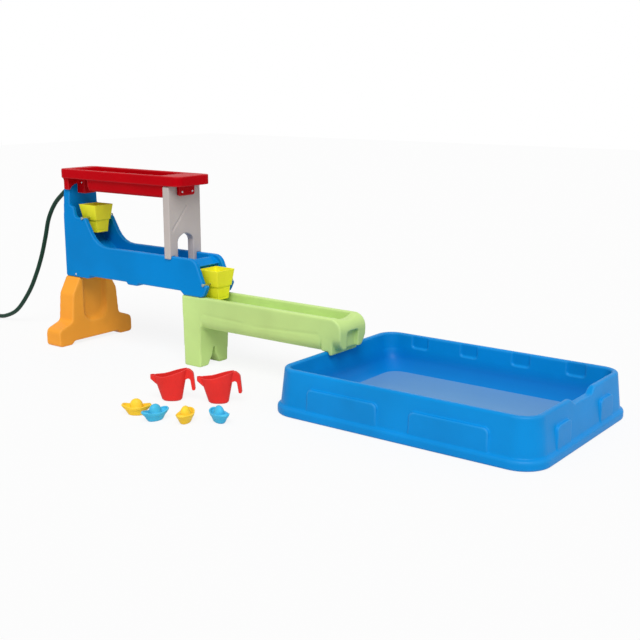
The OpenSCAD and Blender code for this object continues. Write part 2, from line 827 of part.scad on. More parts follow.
module arch_support() color(c_grey) difference() {
    half = arch_w / 2;
    gap = arch_gap / 2;
    wall_out = mid_w / 2 + fit_gap;
    wall_in_y = mid_in_w / 2 - fit_gap;
    skirt = 12;
    tongue = 34;
    slab_x([[-half, mid_rim_z - skirt, 2], [-wall_out, mid_rim_z - skirt, 2],
            [-wall_out, mid_rim_z + fit_gap, 0], [-wall_in_y, mid_rim_z + fit_gap, 0],
            [-wall_in_y, mid_rim_z - tongue, 3],
            [-gap, mid_rim_z - tongue, 3], [-gap, mid_rim_z + arch_point_h - 20, 30],
            [0, mid_rim_z + arch_point_h, 40], [gap, mid_rim_z + arch_point_h - 20, 30],
            [gap, mid_rim_z - tongue, 3], [wall_in_y, mid_rim_z - tongue, 3],
            [wall_in_y, mid_rim_z + fit_gap, 0], [wall_out, mid_rim_z + fit_gap, 0],
            [wall_out, mid_rim_z - skirt, 2], [half, mid_rim_z - skirt, 2],
            [half, arch_z, 8], [-half, arch_z, 8]], arch_x - arch_t, arch_x);
    arch_screw_holes();
}

// Buckets and their axles

// Square tapered slice of a bucket, further in front the lower it lies
module bucket_slice(w, z, t) {
    shift = base_shift * (1 - z / bucket_h) - pivot_x;
    translate([shift, 0, z - pivot_h]) linear_extrude(t) square(w, center = true);
}

// Tapered solid in two steps: a plain upper part on a slightly narrower lower part
module bucket_solid(inset, low) {
    step_h = bucket_h * 0.45;
    step_w = (bucket_base_w + bucket_w) / 2;
    step = 8;
    thin = 0.5;
    hull() {
        bucket_slice(bucket_base_w - 2 * inset, low, thin);
        bucket_slice(step_w - step - 2 * inset, step_h - thin + inset, thin);
    }
    hull() {
        bucket_slice(step_w - 2 * inset, step_h + inset, thin);
        bucket_slice(bucket_w - 2 * inset, bucket_h - thin + inset, thin);
    }
}

module bucket(at) color(c_yellow) translate(at) difference() {
    bucket_solid(0, 0);
    bucket_solid(bucket_wall, bucket_wall);
    bar_y([0, 0, 0], axle_r + screw_gap / 2, -bucket_w, bucket_w);
}

module bucket_axle(at) color(c_steel) bar_y(at, axle_r, -axle_l / 2, axle_l / 2);

// Push-on caps at both ends of an axle
module axle_caps(at) color(c_steel) both_sides() difference() {
    bar_y(at, cap_d / 2, mid_w / 2 + fit_gap, mid_w / 2 + fit_gap + cap_t);
    bar_y(at, axle_r + screw_gap / 2, mid_w / 2, axle_l / 2 + screw_gap);
}

module upper_bucket() bucket(upper_pivot);
module lower_bucket() bucket(lower_pivot);
module upper_bucket_axle() bucket_axle(upper_pivot);
module lower_bucket_axle() bucket_axle(lower_pivot);
module upper_axle_caps() axle_caps(upper_pivot);
module lower_axle_caps() axle_caps(lower_pivot);

// Inlet and screws

riser_top_z = shallow_z + 6;

// Outside of the elbow, with a collar behind the tower for the connector
module inlet_elbow_solid(grow) {
    r = elbow_d / 2 + grow;
    bar_x(0, inlet_z, r, connector_x - collar_l, riser_x);
    translate([riser_x, 0, inlet_z]) sphere(r = r);
    translate([riser_x, 0, inlet_z]) cylinder(r = r, h = riser_top_z - inlet_z + grow);
}

module inlet_elbow() color(c_black) difference() {
    union() {
        inlet_elbow_solid(0);
        bar_x(0, inlet_z, thread_d / 2, connector_x - collar_l, mid_x - fit_gap);
    }
    bar_x(0, inlet_z, water_d / 2, connector_x - collar_l - 1, riser_x);
    translate([riser_x, 0, inlet_z]) sphere(r = water_d / 2);
    translate([riser_x, 0, inlet_z]) cylinder(d = water_d, h = riser_top_z - inlet_z + 1);
}

// Screw along +Y from under its head
module screw(l) {
    rotate([90, 0, 0]) cylinder(d = screw_head_d, h = screw_head_t);
    rotate([-90, 0, 0]) cylinder(d = screw_d, h = l);
}

// Pair of screws driven in along Y, one from each side
module side_screws(at, l) color(c_steel) both_sides() translate([at[0], -at[1], at[2]]) screw(l);

module inlet_screws() side_screws(inlet_screw_at, 14);
module base_screws() side_screws(base_screw_at, 38);

module arch_screws() color(c_steel)
    for (s = [-1, 1])
        translate([arch_screw_at[0], s * arch_screw_at[1], arch_screw_at[2]]) rotate([0, 0, 90]) screw(38);

// Hose

module hose_connector() color(c_black) difference() {
    bar_x(0, inlet_z, connector_d / 2, hose_x, connector_x);
    bar_x(0, inlet_z, thread_d / 2 + screw_gap, connector_x - collar_l - washer_t, connector_x + 1);
    bar_x(0, inlet_z, water_d / 2, hose_x - 1, connector_x);
}

module hose_washer() color(c_black) difference() {
    bar_x(0, inlet_z, thread_d / 2 - fit_gap, connector_x - collar_l - washer_t, connector_x - collar_l);
    bar_x(0, inlet_z, water_d / 2, connector_x - collar_l - washer_t - 1, connector_x);
}

// Smooth curve through four neighbouring points
function spline(a, b, c, d, t) =
    b + (c - a) * t / 2 + (2 * a - 5 * b + 4 * c - d) * t * t / 2 + (3 * b - a - 3 * c + d) * t * t * t / 2;
function clamped(p, i) = p[min(max(i, 0), len(p) - 1)];
function smooth_path(p, n) = [
    for (i = [0 : len(p) - 2], k = [0 : n - 1])
        spline(clamped(p, i - 1), p[i], p[i + 1], clamped(p, i + 2), k / n),
    p[len(p) - 1]
];
// Path with straight ends and a smooth middle
function hose_path(p, n) =
    let (last = len(p) - 1)
    concat([p[0]], smooth_path([for (i = [1 : last - 1]) p[i]], n), [p[last]]);
function tangent(p, i) = unit(clamped(p, i + 1) - clamped(p, i - 1));
// Ring of points square to the path, with its first axis level
function ring(p, i, r, n) =
    let (t = tangent(p, i), side = unit(cross([0, 0, 1], t)), up = cross(t, side))
    [for (k = [0 : n - 1]) p[i] + r * (cos(360 * (k + 0.5) / n) * side + sin(360 * (k + 0.5) / n) * up)];

// Tube of n sides swept along a path
module tube(p, r, n) {
    last = len(p) - 1;
    points = [for (i = [0 : last]) each ring(p, i, r, n)];
    sides = [for (i = [0 : last - 1], k = [0 : n - 1])
        let (a = i * n + k, b = i * n + (k + 1) % n) each [[a, b, b + n], [a, b + n, a + n]]];
    ends = [for (k = [1 : n - 2]) each [[0, k + 1, k], [last * n, last * n + k, last * n + k + 1]]];
    polyhedron(points, concat(sides, ends));
}

module hose() color(c_hose) tube(hose_path(route, route_steps), hose_r, route_sides);

// Flat spiral that winds inwards and tucks its end further in
function tuck(t) = pow(max(0, t - coil_tuck_from), 2);
function spiral_r(t) = coil_r - coil_pitch * t - coil_tuck * tuck(t);
function spiral(t) =
    let (r = spiral_r(t), g = 90 + 360 * t)
    coil_at + [r * cos(g), r * sin(g), ground_z + coil_lift * tuck(t)];
coil_n = round(coil_turns * coil_rings);
spiral_path = [for (i = [0 : coil_n]) spiral(i / coil_rings)];
coil_dir = unit(spiral_path[coil_n] - spiral_path[coil_n - 1]);
coil_end = spiral_path[coil_n] + coil_dir * hose_d;
coil_path = concat([route_end], spiral_path, [coil_end]);
half_turn = coil_rings / 2;
coil_gap = min([for (i = [0 : coil_n], j = [0 : coil_n])
    if (j - i > half_turn) norm(spiral_path[i] - spiral_path[j])]) - hose_d;
echo(coil_gap = coil_gap);
route_path = hose_path(route, 8);
function steps(p) = [for (i = [1 : len(p) - 1]) norm(p[i] - p[i - 1])];
function path_length(p) = steps(p) * [for (d = steps(p)) 1];
echo(hose_length = path_length(route_path) + path_length(coil_path));

module hose_coil() color(c_hose) tube(coil_path, hose_r, coil_sides);

module hose_coupling() color(c_black)
    translate(coil_end) rotate([0, acos(coil_dir[2]), atan2(coil_dir[1], coil_dir[0])]) difference() {
        cylinder(d = connector_d, h = coupling_l);
        translate([0, 0, coupling_l - collar_l]) cylinder(d = thread_d, h = collar_l + 1);
        translate([0, 0, 4]) cylinder(d = water_d, h = coupling_l);
    }

// Toys

module oval(l, w, z, t, n) {
    translate([0, 0, z]) linear_extrude(t) scale([l / w, 1]) circle(d = w, $fn = n);
}

// Pitcher with its spout towards -X and its open hook handle towards +X
pitcher_lean = 6.5;
spout_r = 11;
spout_reach = 5;
module pitcher_shell(inset, low) {
    soft = 6;
    spout_z = pitcher_h - pitcher_fall;
    hull() {
        oval(pitcher_base_l - 2 * (soft + inset), pitcher_base_w - 2 * (soft + inset), low, 1, pitcher_fn);
        oval(pitcher_base_l - 2 * inset, pitcher_base_w - 2 * inset, low + soft, 1, pitcher_fn);
        translate([-pitcher_lean, 0, 0])
            oval(pitcher_l - 2 * inset, pitcher_w - 2 * inset, pitcher_h - 1 + inset, 1, pitcher_fn);
    }
    translate([-pitcher_lean, 0, 0]) hull() {
        translate([spout_r + 15 - pitcher_l / 2, 0, spout_z - 36])
            cylinder(r = spout_r - inset, h = 1, $fn = 20);
        translate([spout_r - spout_reach - pitcher_l / 2, 0, spout_z - 17])
            cylinder(r = spout_r - inset, h = pitcher_h - spout_z + 17 + inset, $fn = 20);
    }
}

module pitcher_rim_cut() {
    far_x = pitcher_l;
    back_x = pitcher_l / 2 - pitcher_lean - 6;
    slab_y([[-far_x, pitcher_h + 4 - pitcher_fall, 0], [-28, pitcher_h - pitcher_dip, 90],
            [back_x, pitcher_h - 1, 0], [back_x, pitcher_h + 40, 0], [-far_x, pitcher_h + 40, 0]],
        -far_x, far_x);
}

module pitcher_handle() {
    x = pitcher_l / 2 - pitcher_lean;
    half_w = 9;
    slab_y([[x - 12, pitcher_h - 42, 0], [x - 12, pitcher_h - 6, 0], [x + 4, pitcher_h, 10],
            [x + 21, pitcher_h - 14, 18], [x + 27, pitcher_h - 79, 5], [x + 15, pitcher_h - 79, 5],
            [x + 8, pitcher_h - 31, 8], [x - 8, pitcher_h - 40, 0]], -half_w, half_w);
}

module pitcher(place) color(c_toy_red) translate([place[0], place[1], 0]) rotate(place[2]) {
    difference() {
        union() {
            pitcher_shell(0, 0);
            pitcher_handle();
        }
        pitcher_shell(toy_wall, toy_wall);
        pitcher_rim_cut();
    }
}

// Loft through oval stations of [length, width, height]
module loft(stations, n) {
    for (i = [1 : len(stations) - 1]) hull() for (k = [i - 1, i])
        oval(stations[k][0], stations[k][1], stations[k][2], 0.5, n);
}

// Boat: a flared hull with a stepped side and a rim that rises to both ends, where two wells
// lie on either side of a dome
module boat(place, paint) color(paint) translate([place[0], place[1], 0]) rotate(place[2]) {
    sheer_r = (pow(boat_l / 2, 2) + pow(boat_rise, 2)) / (2 * boat_rise);
    step_z = boat_rim_z - 10;
    end_z = boat_rim_z + boat_rise;
    well_l = boat_l - 2 * boat_rim;
    well_w = boat_w - 2 * boat_rim;
    difference() {
        loft([[boat_base_l - 6, boat_base_w - 6, 0], [boat_base_l, boat_base_w, 3],
              [boat_l - 25, boat_w - 9, step_z], [boat_l - 19, boat_w - 4, step_z + 2],
              [boat_l, boat_w, boat_rim_z + 3], [boat_l - 12, boat_w - 4, end_z + 1]], boat_fn);
        loft([[well_l - 20, well_w - 10, step_z + 2], [well_l - 6, well_w - 2, boat_rim_z + 2],
              [well_l - 6, well_w - 2, boat_h + 1]], boat_fn);
        bar_y([0, 0, boat_rim_z + sheer_r], sheer_r, -boat_w, boat_w);
    }
    loft([[dome_l + 1, boat_w - boat_rim, step_z], [dome_l, dome_w + 4, boat_rim_z + 1],
          [dome_l - 2, dome_w, boat_h - 18], [dome_l - 9, dome_w - 6, boat_h - 10],
          [dome_l - 20, dome_w - 14, boat_h - 4], [dome_l - 34, dome_w - 24, boat_h - 0.5]], boat_fn);
}

module pitcher_1() pitcher(pitcher_places[0]);
module pitcher_2() pitcher(pitcher_places[1]);
module boat_yellow_1() boat(boat_places[0], c_toy_yellow);
module boat_blue_1() boat(boat_places[1], c_toy_blue);
module boat_yellow_2() boat(boat_places[2], c_toy_yellow);
module boat_blue_2() boat(boat_places[3], c_toy_blue);

pool_basin();
lower_trough();
middle_trough();
base_stand();
upper_trough();
arch_support();
upper_bucket();
upper_bucket_axle();
upper_axle_caps();
lower_bucket();
lower_bucket_axle();
lower_axle_caps();
inlet_elbow();
inlet_screws();
arch_screws();
base_screws();
hose_connector();
hose_washer();
hose();
hose_coil();
hose_coupling();
pitcher_1();
pitcher_2();
boat_yellow_1();
boat_yellow_2();
boat_blue_1();
boat_blue_2();
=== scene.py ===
"""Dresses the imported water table: soft mouldings, water, hose, fittings, toys, light and camera.

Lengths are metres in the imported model's own frame. Every piece rides on one of its bodies.
"""

from __future__ import annotations

import json
import logging
import math
from dataclasses import dataclass
from enum import Enum
from typing import Any, Sequence

import bmesh
import bpy
import numpy as np
from mathutils import Matrix, Vector

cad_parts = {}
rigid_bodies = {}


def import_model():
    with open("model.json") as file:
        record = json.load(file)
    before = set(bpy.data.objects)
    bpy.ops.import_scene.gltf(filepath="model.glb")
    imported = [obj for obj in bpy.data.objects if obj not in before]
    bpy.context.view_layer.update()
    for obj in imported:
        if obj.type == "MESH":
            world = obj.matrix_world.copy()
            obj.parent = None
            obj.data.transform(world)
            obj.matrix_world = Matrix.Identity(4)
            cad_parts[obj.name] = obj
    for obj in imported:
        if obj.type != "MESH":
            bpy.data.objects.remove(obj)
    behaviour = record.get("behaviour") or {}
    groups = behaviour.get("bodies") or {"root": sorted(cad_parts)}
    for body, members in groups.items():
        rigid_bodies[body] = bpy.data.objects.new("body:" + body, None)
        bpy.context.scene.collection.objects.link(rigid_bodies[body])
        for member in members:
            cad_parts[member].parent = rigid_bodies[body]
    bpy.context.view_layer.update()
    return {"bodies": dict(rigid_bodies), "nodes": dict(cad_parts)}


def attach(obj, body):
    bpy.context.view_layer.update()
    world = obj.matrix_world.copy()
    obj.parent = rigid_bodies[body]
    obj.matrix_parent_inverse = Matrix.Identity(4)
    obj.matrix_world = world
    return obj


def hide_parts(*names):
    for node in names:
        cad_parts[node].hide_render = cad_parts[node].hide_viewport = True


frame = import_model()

log = logging.getLogger("water_table")

Rgb = tuple[int, int, int]
Pair = tuple[float, float]
Point = tuple[float, float, float]
Key = str | int
Piece = bpy.types.Object
Form = bmesh.types.BMesh
MM = 0.001
TURN = 2 * math.pi
WHITE = (1.0, 1.0, 1.0, 1.0)
TABLE_BODY = "table"
INPUT_KINDS = {float: "NodeSocketFloat", int: "NodeSocketInt",
               bpy.types.Material: "NodeSocketMaterial"}


class Slot(Enum):
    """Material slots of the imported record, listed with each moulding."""

    POOL = "pool_blue"
    TROUGH = "trough_blue"
    GREEN = "green"
    ORANGE = "orange"
    RED = "red"
    GREY = "grey"
    BUCKET = "bucket_yellow"
    STEEL = "steel"
    BLACK = "black"
    HOSE = "hose_green"
    TOY_RED = "toy_red"
    TOY_YELLOW = "toy_yellow"
    TOY_BLUE = "toy_blue"


class Axis(Enum):
    """Directions that a face or a screw looks in."""

    X = (1.0, 0.0, 0.0)
    BACK_X = (-1.0, 0.0, 0.0)
    Y = (0.0, 1.0, 0.0)
    BACK_Y = (0.0, -1.0, 0.0)
    Z = (0.0, 0.0, 1.0)


# Boards of nodes


def linear(colour: Rgb, gain: float = 1.0) -> tuple[float, float, float, float]:
    """Linear red, green, blue and alpha of a display colour from 0 to 255, times a gain."""
    flat = (p / 12.92 if p <= 0.04045 else ((p + 0.055) / 1.055) ** 2.4
            for p in (c / 255 for c in colour))
    return (*(min(1.0, gain * p) for p in flat), 1.0)


class Wire:
    """One output socket of a board, so that maths on nodes reads as Python."""

    def __init__(self, board: Board, socket: bpy.types.NodeSocket) -> None:
        """Keep the board and the socket."""
        self.board = board
        self.socket = socket

    def maths(self, operation: str, other: Term = 0.0) -> Wire:
        """Value of a Math node on this wire and another term."""
        return self.board.add("ShaderNodeMath", {"operation": operation}, {0: self, 1: other})

    def __add__(self, other: Term) -> Wire:
        """Sum."""
        return self.maths("ADD", other)

    def __sub__(self, other: Term) -> Wire:
        """Difference."""
        return self.maths("SUBTRACT", other)

    def __mul__(self, other: Term) -> Wire:
        """Product."""
        return self.maths("MULTIPLY", other)

    def sine(self) -> Wire:
        """Sine of the value in radians."""
        return self.maths("SINE")

    def larger(self, other: Term) -> Wire:
        """The larger of two values."""
        return self.maths("MAXIMUM", other)

    def unsigned(self) -> Wire:
        """The value without its sign."""
        return self.maths("ABSOLUTE")

    def root(self) -> Wire:
        """Square root of the value."""
        return self.maths("SQRT")

    __radd__ = __add__
    __rmul__ = __mul__


Term = Wire | float


class Board:
    """A node tree with one way to add a node."""

    def __init__(self, tree: bpy.types.NodeTree) -> None:
        """Take over a tree and clear it."""
        self.tree = tree
        tree.nodes.clear()

    @staticmethod
    def of(owner: bpy.types.Material | bpy.types.World) -> Board:
        """Start the board of a material or world."""
        owner.use_nodes = True
        return Board(owner.node_tree)

    @staticmethod
    def pick(sockets: Any, key: Key) -> bpy.types.NodeSocket:
        """Socket of a node that has an index, identifier or name."""
        named = {socket.identifier: socket for socket in sockets}
        return named.get(key) or sockets[key]

    def add(self, kind: str, settings: dict[str, Any] | None = None,
            sockets: dict[Key, Any] | None = None, output: Key = 0) -> Wire:
        """Add a node: its settings first, then its sockets' values or links.

        Args:
            kind: The node's type.
            settings: Attributes of the node.
            sockets: Values, wires or lists of wires by socket.
            output: The output that is handed back.

        Returns:
            The wire of that output, or one without a socket where the node has none.
        """
        node = self.tree.nodes.new(kind)
        for key, value in (settings or {}).items():
            setattr(node, key, value)
        for key, value in (sockets or {}).items():
            socket = self.pick(node.inputs, key)
            for part in value if isinstance(value, list) else [value]:
                if isinstance(part, Wire):
                    self.tree.links.new(part.socket, socket)
                else:
                    socket.default_value = part
        return Wire(self, self.pick(node.outputs, output) if len(node.outputs) else None)

    def noise(self, at: Wire, scale: float, detail: float = 2.0, rough: float = 0.5) -> Wire:
        """Cloudy noise from 0 to 1 at a place."""
        return self.add("ShaderNodeTexNoise", {},
                        {"Vector": at, "Scale": scale, "Detail": detail, "Roughness": rough})

    def blend(self, share: Term, first: Any, second: Any) -> Wire:
        """Mix two colours by a share."""
        return self.add("ShaderNodeMix", {"data_type": "RGBA"},
                        {"Factor_Float": share, "A_Color": first, "B_Color": second},
                        "Result_Color")

    def ramp(self, value: Wire, low: float, high: float,
             to_low: float = 0.0, to_high: float = 1.0) -> Wire:
        """Map a range of a value to another, held at both ends."""
        return self.add("ShaderNodeMapRange", {"clamp": True},
                        {"Value": value, "From Min": low, "From Max": high,
                         "To Min": to_low, "To Max": to_high})

    def place(self) -> Wire:
        """Object coordinates."""
        return self.add("ShaderNodeTexCoord", output="Object")

    def part(self, vector: Wire, axis: str) -> Wire:
        """One coordinate of a vector."""
        return self.add("ShaderNodeSeparateXYZ", {}, {0: vector}, axis)

    def stretched(self, at: Wire, scale: Point) -> Wire:
        """Coordinates scaled along their axes."""
        return self.add("ShaderNodeMapping", {}, {"Vector": at, "Scale": scale})

    def bump(self, height: Wire, depth: float, strength: float = 0.5,
             under: Wire | None = None) -> Wire:
        """Normal of a relief of that depth, over another one where that is given."""
        return self.add("ShaderNodeBump", {},
                        {"Height": height, "Distance": depth, "Strength": strength,
                         **({"Normal": under} if under else {})})


# Finishes


@dataclass(frozen=True)
class Finish:
    """A finish that makes its material once."""

    name: str
    colour: Rgb

    def sockets(self, board: Board) -> dict[Key, Any]:
        """Lay out the finish.

        Args:
            board: The material's board.

        Returns:
            Values and wires of the Principled shader's sockets.
        """
        raise NotImplementedError

    def material(self) -> bpy.types.Material:
        """Give the finish's material, which is made at its first use.

        Returns:
            The material.
        """
        material = bpy.data.materials.get(self.name)
        if material is None:
            material = bpy.data.materials.new(self.name)
            board = Board.of(material)
            shader = board.add("ShaderNodeBsdfPrincipled", {}, self.sockets(board))
            board.add("ShaderNodeOutputMaterial", {}, {"Surface": shader})
        return material


@dataclass(frozen=True)
class MouldedPlastic(Finish):
    """Hollow-moulded polyethylene: clouded colour, soft gloss, skin texture and painted highlights
    on its edges.
    """

    sheen: float = 0.12
    size: float = 1.0
    cloud: float = 0.10
    drift_scale: float = 4.5
    drift_range: Pair = (0.32, 0.68)
    flow_scale: float = 16.0
    ripple: float = 1.1 * MM
    speck_scale: float = 900.0
    speck_range: Pair = (0.62, 0.78)
    speck_share: float = 0.18
    speck_tone: float = 0.72
    grain: float = 0.12 * MM
    # Painted highlight: convex edges, found by pointiness, are lightened towards white.
    edge_range: Pair = (0.505, 0.56)
    edge_light: float = 0.55
    pale: float = 0.12
    rough: float = 0.33
    rough_drift: float = 0.07
    rough_speck: float = 0.06
    rough_edge: float = 0.04

    def shaded(self, board: Board, at: Wire, tone: Wire) -> Wire:
        """The colour with what the piece's place adds to it: nothing on a plain moulding."""
        return tone

    def sockets(self, board: Board) -> dict[Key, Any]:
        """Cloud and fleck the colour, paint a highlight on its edges and ripple the skin.

        Args:
            board: The material's board.

        Returns:
            The shader's sockets.
        """
        at = board.place()
        drift = board.noise(at, self.drift_scale / self.size, detail=3.0)
        flow = board.noise(at, self.flow_scale / self.size)
        speck = board.noise(at, self.speck_scale, rough=0.6)
        body = board.blend(board.ramp(drift, *self.drift_range),
                           linear(self.colour, 1 - self.cloud),
                           linear(self.colour, 1 + self.cloud / 2))
        flecked = board.blend(board.ramp(speck, *self.speck_range, 0.0, self.speck_share), body,
                              linear(self.colour, self.speck_tone))
        # Painted highlight: pointiness picks the convex edges, which are blended towards a lighter
        # colour.
        edge = board.ramp(board.add("ShaderNodeNewGeometry", output="Pointiness"),
                          *self.edge_range)
        light = tuple(int(c + (255 - c) * self.edge_light) for c in self.colour)
        edge_lit = board.blend(edge * self.pale, flecked, linear(light))
        rough = (self.rough + self.rough_drift * drift + self.rough_speck * speck
                 + edge * self.rough_edge)
        skin = board.bump(speck, self.grain, strength=0.6)
        wave = board.bump(flow, self.ripple * self.size, under=skin)
        return {"Base Color": self.shaded(board, at, edge_lit), "Roughness": rough, "Normal": wave,
                "Specular IOR Level": self.sheen}


@dataclass(frozen=True)
class BasinPlastic(MouldedPlastic):
    """Moulded plastic of a basin, with painted shade on the lower part of its inside."""

    half: Pair = (0.465, 0.336)
    corner: float = 0.060
    soft: float = 0.004
    floor_z: float = 0.024
    ledge_z: float = 0.070
    shade_top_z: float = 0.112
    # Colour of the painted shade inside the basin.
    inside_shade: Rgb = (0, 112, 189)
    floor_share: float = 0.6

    def shaded(self, board: Board, at: Wire, tone: Wire) -> Wire:
        """Paint shade on the inside: darken it from high on the wall down to the ledge, and less so
        at the water.

        Args:
            board: The material's board.
            at: Object coordinates.
            tone: The colour so far.

        Returns:
            The colour.
        """
        # Painted shade: inside the basin's rounded outline the colour is blended towards a darker
        # blue, most at the ledge.
        height = board.part(at, "Z")
        share = board.ramp(height, self.floor_z, self.ledge_z, self.floor_share, 1.0)
        share = share * board.ramp(height, self.ledge_z, self.shade_top_z, 1.0, 0.0)
        past = [(board.part(at, axis).unsigned() - (half - self.corner)).larger(0.0)
                for axis, half in zip("XY", self.half)]
        reach = (past[0] * past[0] + past[1] * past[1]).root()
        share = share * board.ramp(reach, self.corner - self.soft, self.corner + self.soft,
                                   1.0, 0.0)
        return board.blend(share, tone, linear(self.inside_shade))


@dataclass(frozen=True)
class DrawnSteel(Finish):
    """Bright bar with fine marks along its length."""

    along: Point = (700.0, 700.0, 700.0)
    mark_depth: float = 0.06 * MM
    dull_scale: float = 60.0
    dull_tone: float = 0.82
    rough: float = 0.2
    rough_mark: float = 0.16
    rough_dull: float = 0.1

    def sockets(self, board: Board) -> dict[Key, Any]:
        """Dull the metal unevenly and draw marks along it.

        Args:
            board: The material's board.

        Returns:
            The shader's sockets.
        """
        at = board.place()
        mark = board.noise(board.stretched(at, self.along), 1.0, detail=3.0)
        dull = board.noise(at, self.dull_scale)
        tone = board.blend(dull, linear(self.colour, self.dull_tone), linear(self.colour))
        return {"Base Color": tone, "Metallic": 1.0,
                "Roughness": self.rough + self.rough_mark * mark + self.rough_dull * dull,
                "Normal": board.bump(mark, self.mark_depth)}


@dataclass(frozen=True)
class FittingPlastic(Finish):
    """Hard moulded fitting or soft rubber, nearly black, with a fine grain."""

    rough: float = 0.42
    rough_grain: float = 0.12
    sheen: float = 0.3
    grain_scale: float = 1400.0
    grain: float = 0.08 * MM
    dust_scale: float = 45.0
    dust_range: Pair = (0.45, 0.8)
    dust_share: float = 0.35
    dust_light: int = 26

    def sockets(self, board: Board) -> dict[Key, Any]:
        """Dust the colour and grain the skin.

        Args:
            board: The material's board.

        Returns:
            The shader's sockets.
        """
        at = board.place()
        grain = board.noise(at, self.grain_scale)
        dust = board.noise(at, self.dust_scale, detail=3.0)
        tone = board.blend(board.ramp(dust, *self.dust_range, 0.0, self.dust_share),
                           linear(self.colour),
                           linear(tuple(min(255, c + self.dust_light) for c in self.colour)))
        return {"Base Color": tone, "Roughness": self.rough + self.rough_grain * grain,
                "Normal": board.bump(grain, self.grain),
                "Specular IOR Level": self.sheen}


@dataclass(frozen=True)
class HoseSkin(Finish):
    """Garden hose: dark green with a faint crossed braid under a soft gloss."""

    light: Rgb
    crossings: float = 9.0
    pitch: float = 12 * MM
    braid_high: float = 0.9
    braid_share: float = 0.35
    braid_depth: float = 0.2 * MM
    dust_scale: float = 28.0
    dust_range: Pair = (0.5, 0.8)
    dust_share: float = 0.2
    rough: float = 0.34
    rough_dust: float = 0.16
    sheen: float = 0.2

    def sockets(self, board: Board) -> dict[Key, Any]:
        """Braid the skin along the hose and dust it.

        Args:
            board: The material's board.

        Returns:
            The shader's sockets.
        """
        unrolled = board.add("ShaderNodeTexCoord", output="UV")
        along, around = board.part(unrolled, "X"), board.part(unrolled, "Y")
        run, turn = along * (TURN / self.pitch), around * (TURN * self.crossings)
        braid = (turn + run).sine() * (turn - run).sine()
        dust = board.noise(board.place(), self.dust_scale, detail=3.0)
        light = linear(self.light)
        tone = board.blend(board.ramp(braid, 0.0, self.braid_high, 0.0, self.braid_share),
                           linear(self.colour), light)
        dusty = board.blend(board.ramp(dust, *self.dust_range, 0.0, self.dust_share), tone, light)
        return {"Base Color": dusty, "Roughness": self.rough + self.rough_dust * dust,
                "Normal": board.bump(braid, self.braid_depth),
                "Specular IOR Level": self.sheen}


@dataclass(frozen=True)
class ShallowWater(Finish):
    """Still shallow water over the pool's floor, opaque pale blue: partly the water's own tint,
    partly painted reflection of the pale surroundings.
    """

    deep: Rgb
    drift_scale: Point = (2.2, 4.0, 1.0)
    drift_range: Pair = (0.3, 0.7)
    deep_share: float = 0.5
    swell_scale: Point = (9.0, 14.0, 1.0)
    swell: float = 1.2 * MM
    rough: float = 0.22
    rough_drift: float = 0.08

    def sockets(self, board: Board) -> dict[Key, Any]:
        """Drift between two blues under a low swell.

        Args:
            board: The material's board.

        Returns:
            The shader's sockets.
        """
        at = board.place()
        drift = board.noise(board.stretched(at, self.drift_scale), 1.0, detail=3.0)
        swell = board.noise(board.stretched(at, self.swell_scale), 1.0)
        tone = board.blend(board.ramp(drift, *self.drift_range, 0.0, self.deep_share),
                           linear(self.colour), linear(self.deep))
        return {"Base Color": tone, "Roughness": self.rough + self.rough_drift * drift,
                "IOR": 1.33, "Normal": board.bump(swell, self.swell, strength=0.35)}


# The pool's finish paints shade on the lower part of the basin's inside.
BLUE_POOL = BasinPlastic("pool_blue_plastic", (0, 136, 210))
BLUE_TROUGH = MouldedPlastic("trough_blue_plastic", (0, 131, 207), sheen=0.04)
GREEN = MouldedPlastic("green_plastic", (197, 226, 140))
ORANGE = MouldedPlastic("orange_plastic", (245, 162, 52))
RED = MouldedPlastic("red_plastic", (187, 0, 14), sheen=0.03)
GREY = MouldedPlastic("grey_plastic", (189, 180, 176))
YELLOW = MouldedPlastic("bucket_yellow_plastic", (246, 241, 46), size=0.4)
TOY_RED = MouldedPlastic("toy_red_plastic", (230, 50, 45), size=0.35)
TOY_YELLOW = MouldedPlastic("toy_yellow_plastic", (254, 208, 58), size=0.3)
TOY_BLUE = MouldedPlastic("toy_blue_plastic", (72, 188, 228), size=0.3)
STEEL_BAR = DrawnSteel("steel_bar", (198, 202, 205), (900.0, 30.0, 900.0))
STEEL_SCREW = DrawnSteel("steel_screw", (206, 209, 212))
STEEL_CAP = DrawnSteel("steel_cap", (158, 172, 174))
BLACK = FittingPlastic("black_fitting", (32, 38, 42))
RUBBER = FittingPlastic("washer_rubber", (22, 23, 24), rough=0.6)
HOSE = HoseSkin("hose_skin", (6, 48, 34), (36, 88, 66))
# Pale opaque water: its own blue tint together with a painted reflection of the pale surroundings.
WATER = ShallowWater("shallow_water", (112, 158, 202), (94, 144, 196))


# Mesh helpers


def add_object(name: str, data: bpy.types.ID) -> Piece:
    """Put a mesh, lamp or camera in the scene.

    Args:
        name: The object's name.
        data: Its data; a mesh is in the frame.

    Returns:
        The object, at the origin.
    """
    thing = bpy.data.objects.new(name, data)
    bpy.context.scene.collection.objects.link(thing)
    return thing


def settle(piece: Piece, finish: Finish | None, body: str,
           stands_for: Sequence[str] = ()) -> Piece:
    """Dress a finished piece and hand it to the frame.

    Args:
        piece: The piece, with its final mesh.
        finish: Its finish, or None where the mesh has its material.
        body: The body that it rides on.
        stands_for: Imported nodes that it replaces.

    Returns:
        The piece.
    """
    if finish is not None:
        piece.data.materials.clear()
        piece.data.materials.append(finish.material())
    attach(piece, body)
    if stands_for:
        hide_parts(*stands_for)
    log.info("%s on %s: %d faces", piece.name, body, len(piece.data.polygons))
    return piece


def dress(node: str, finish: Finish) -> None:
    """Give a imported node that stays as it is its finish.

    Args:
        node: The node.
        finish: The finish.
    """
    for slot in frame["nodes"][node].material_slots:
        slot.link = "OBJECT"
        slot.material = finish.material()
    log.info("%s keeps its solid", node)


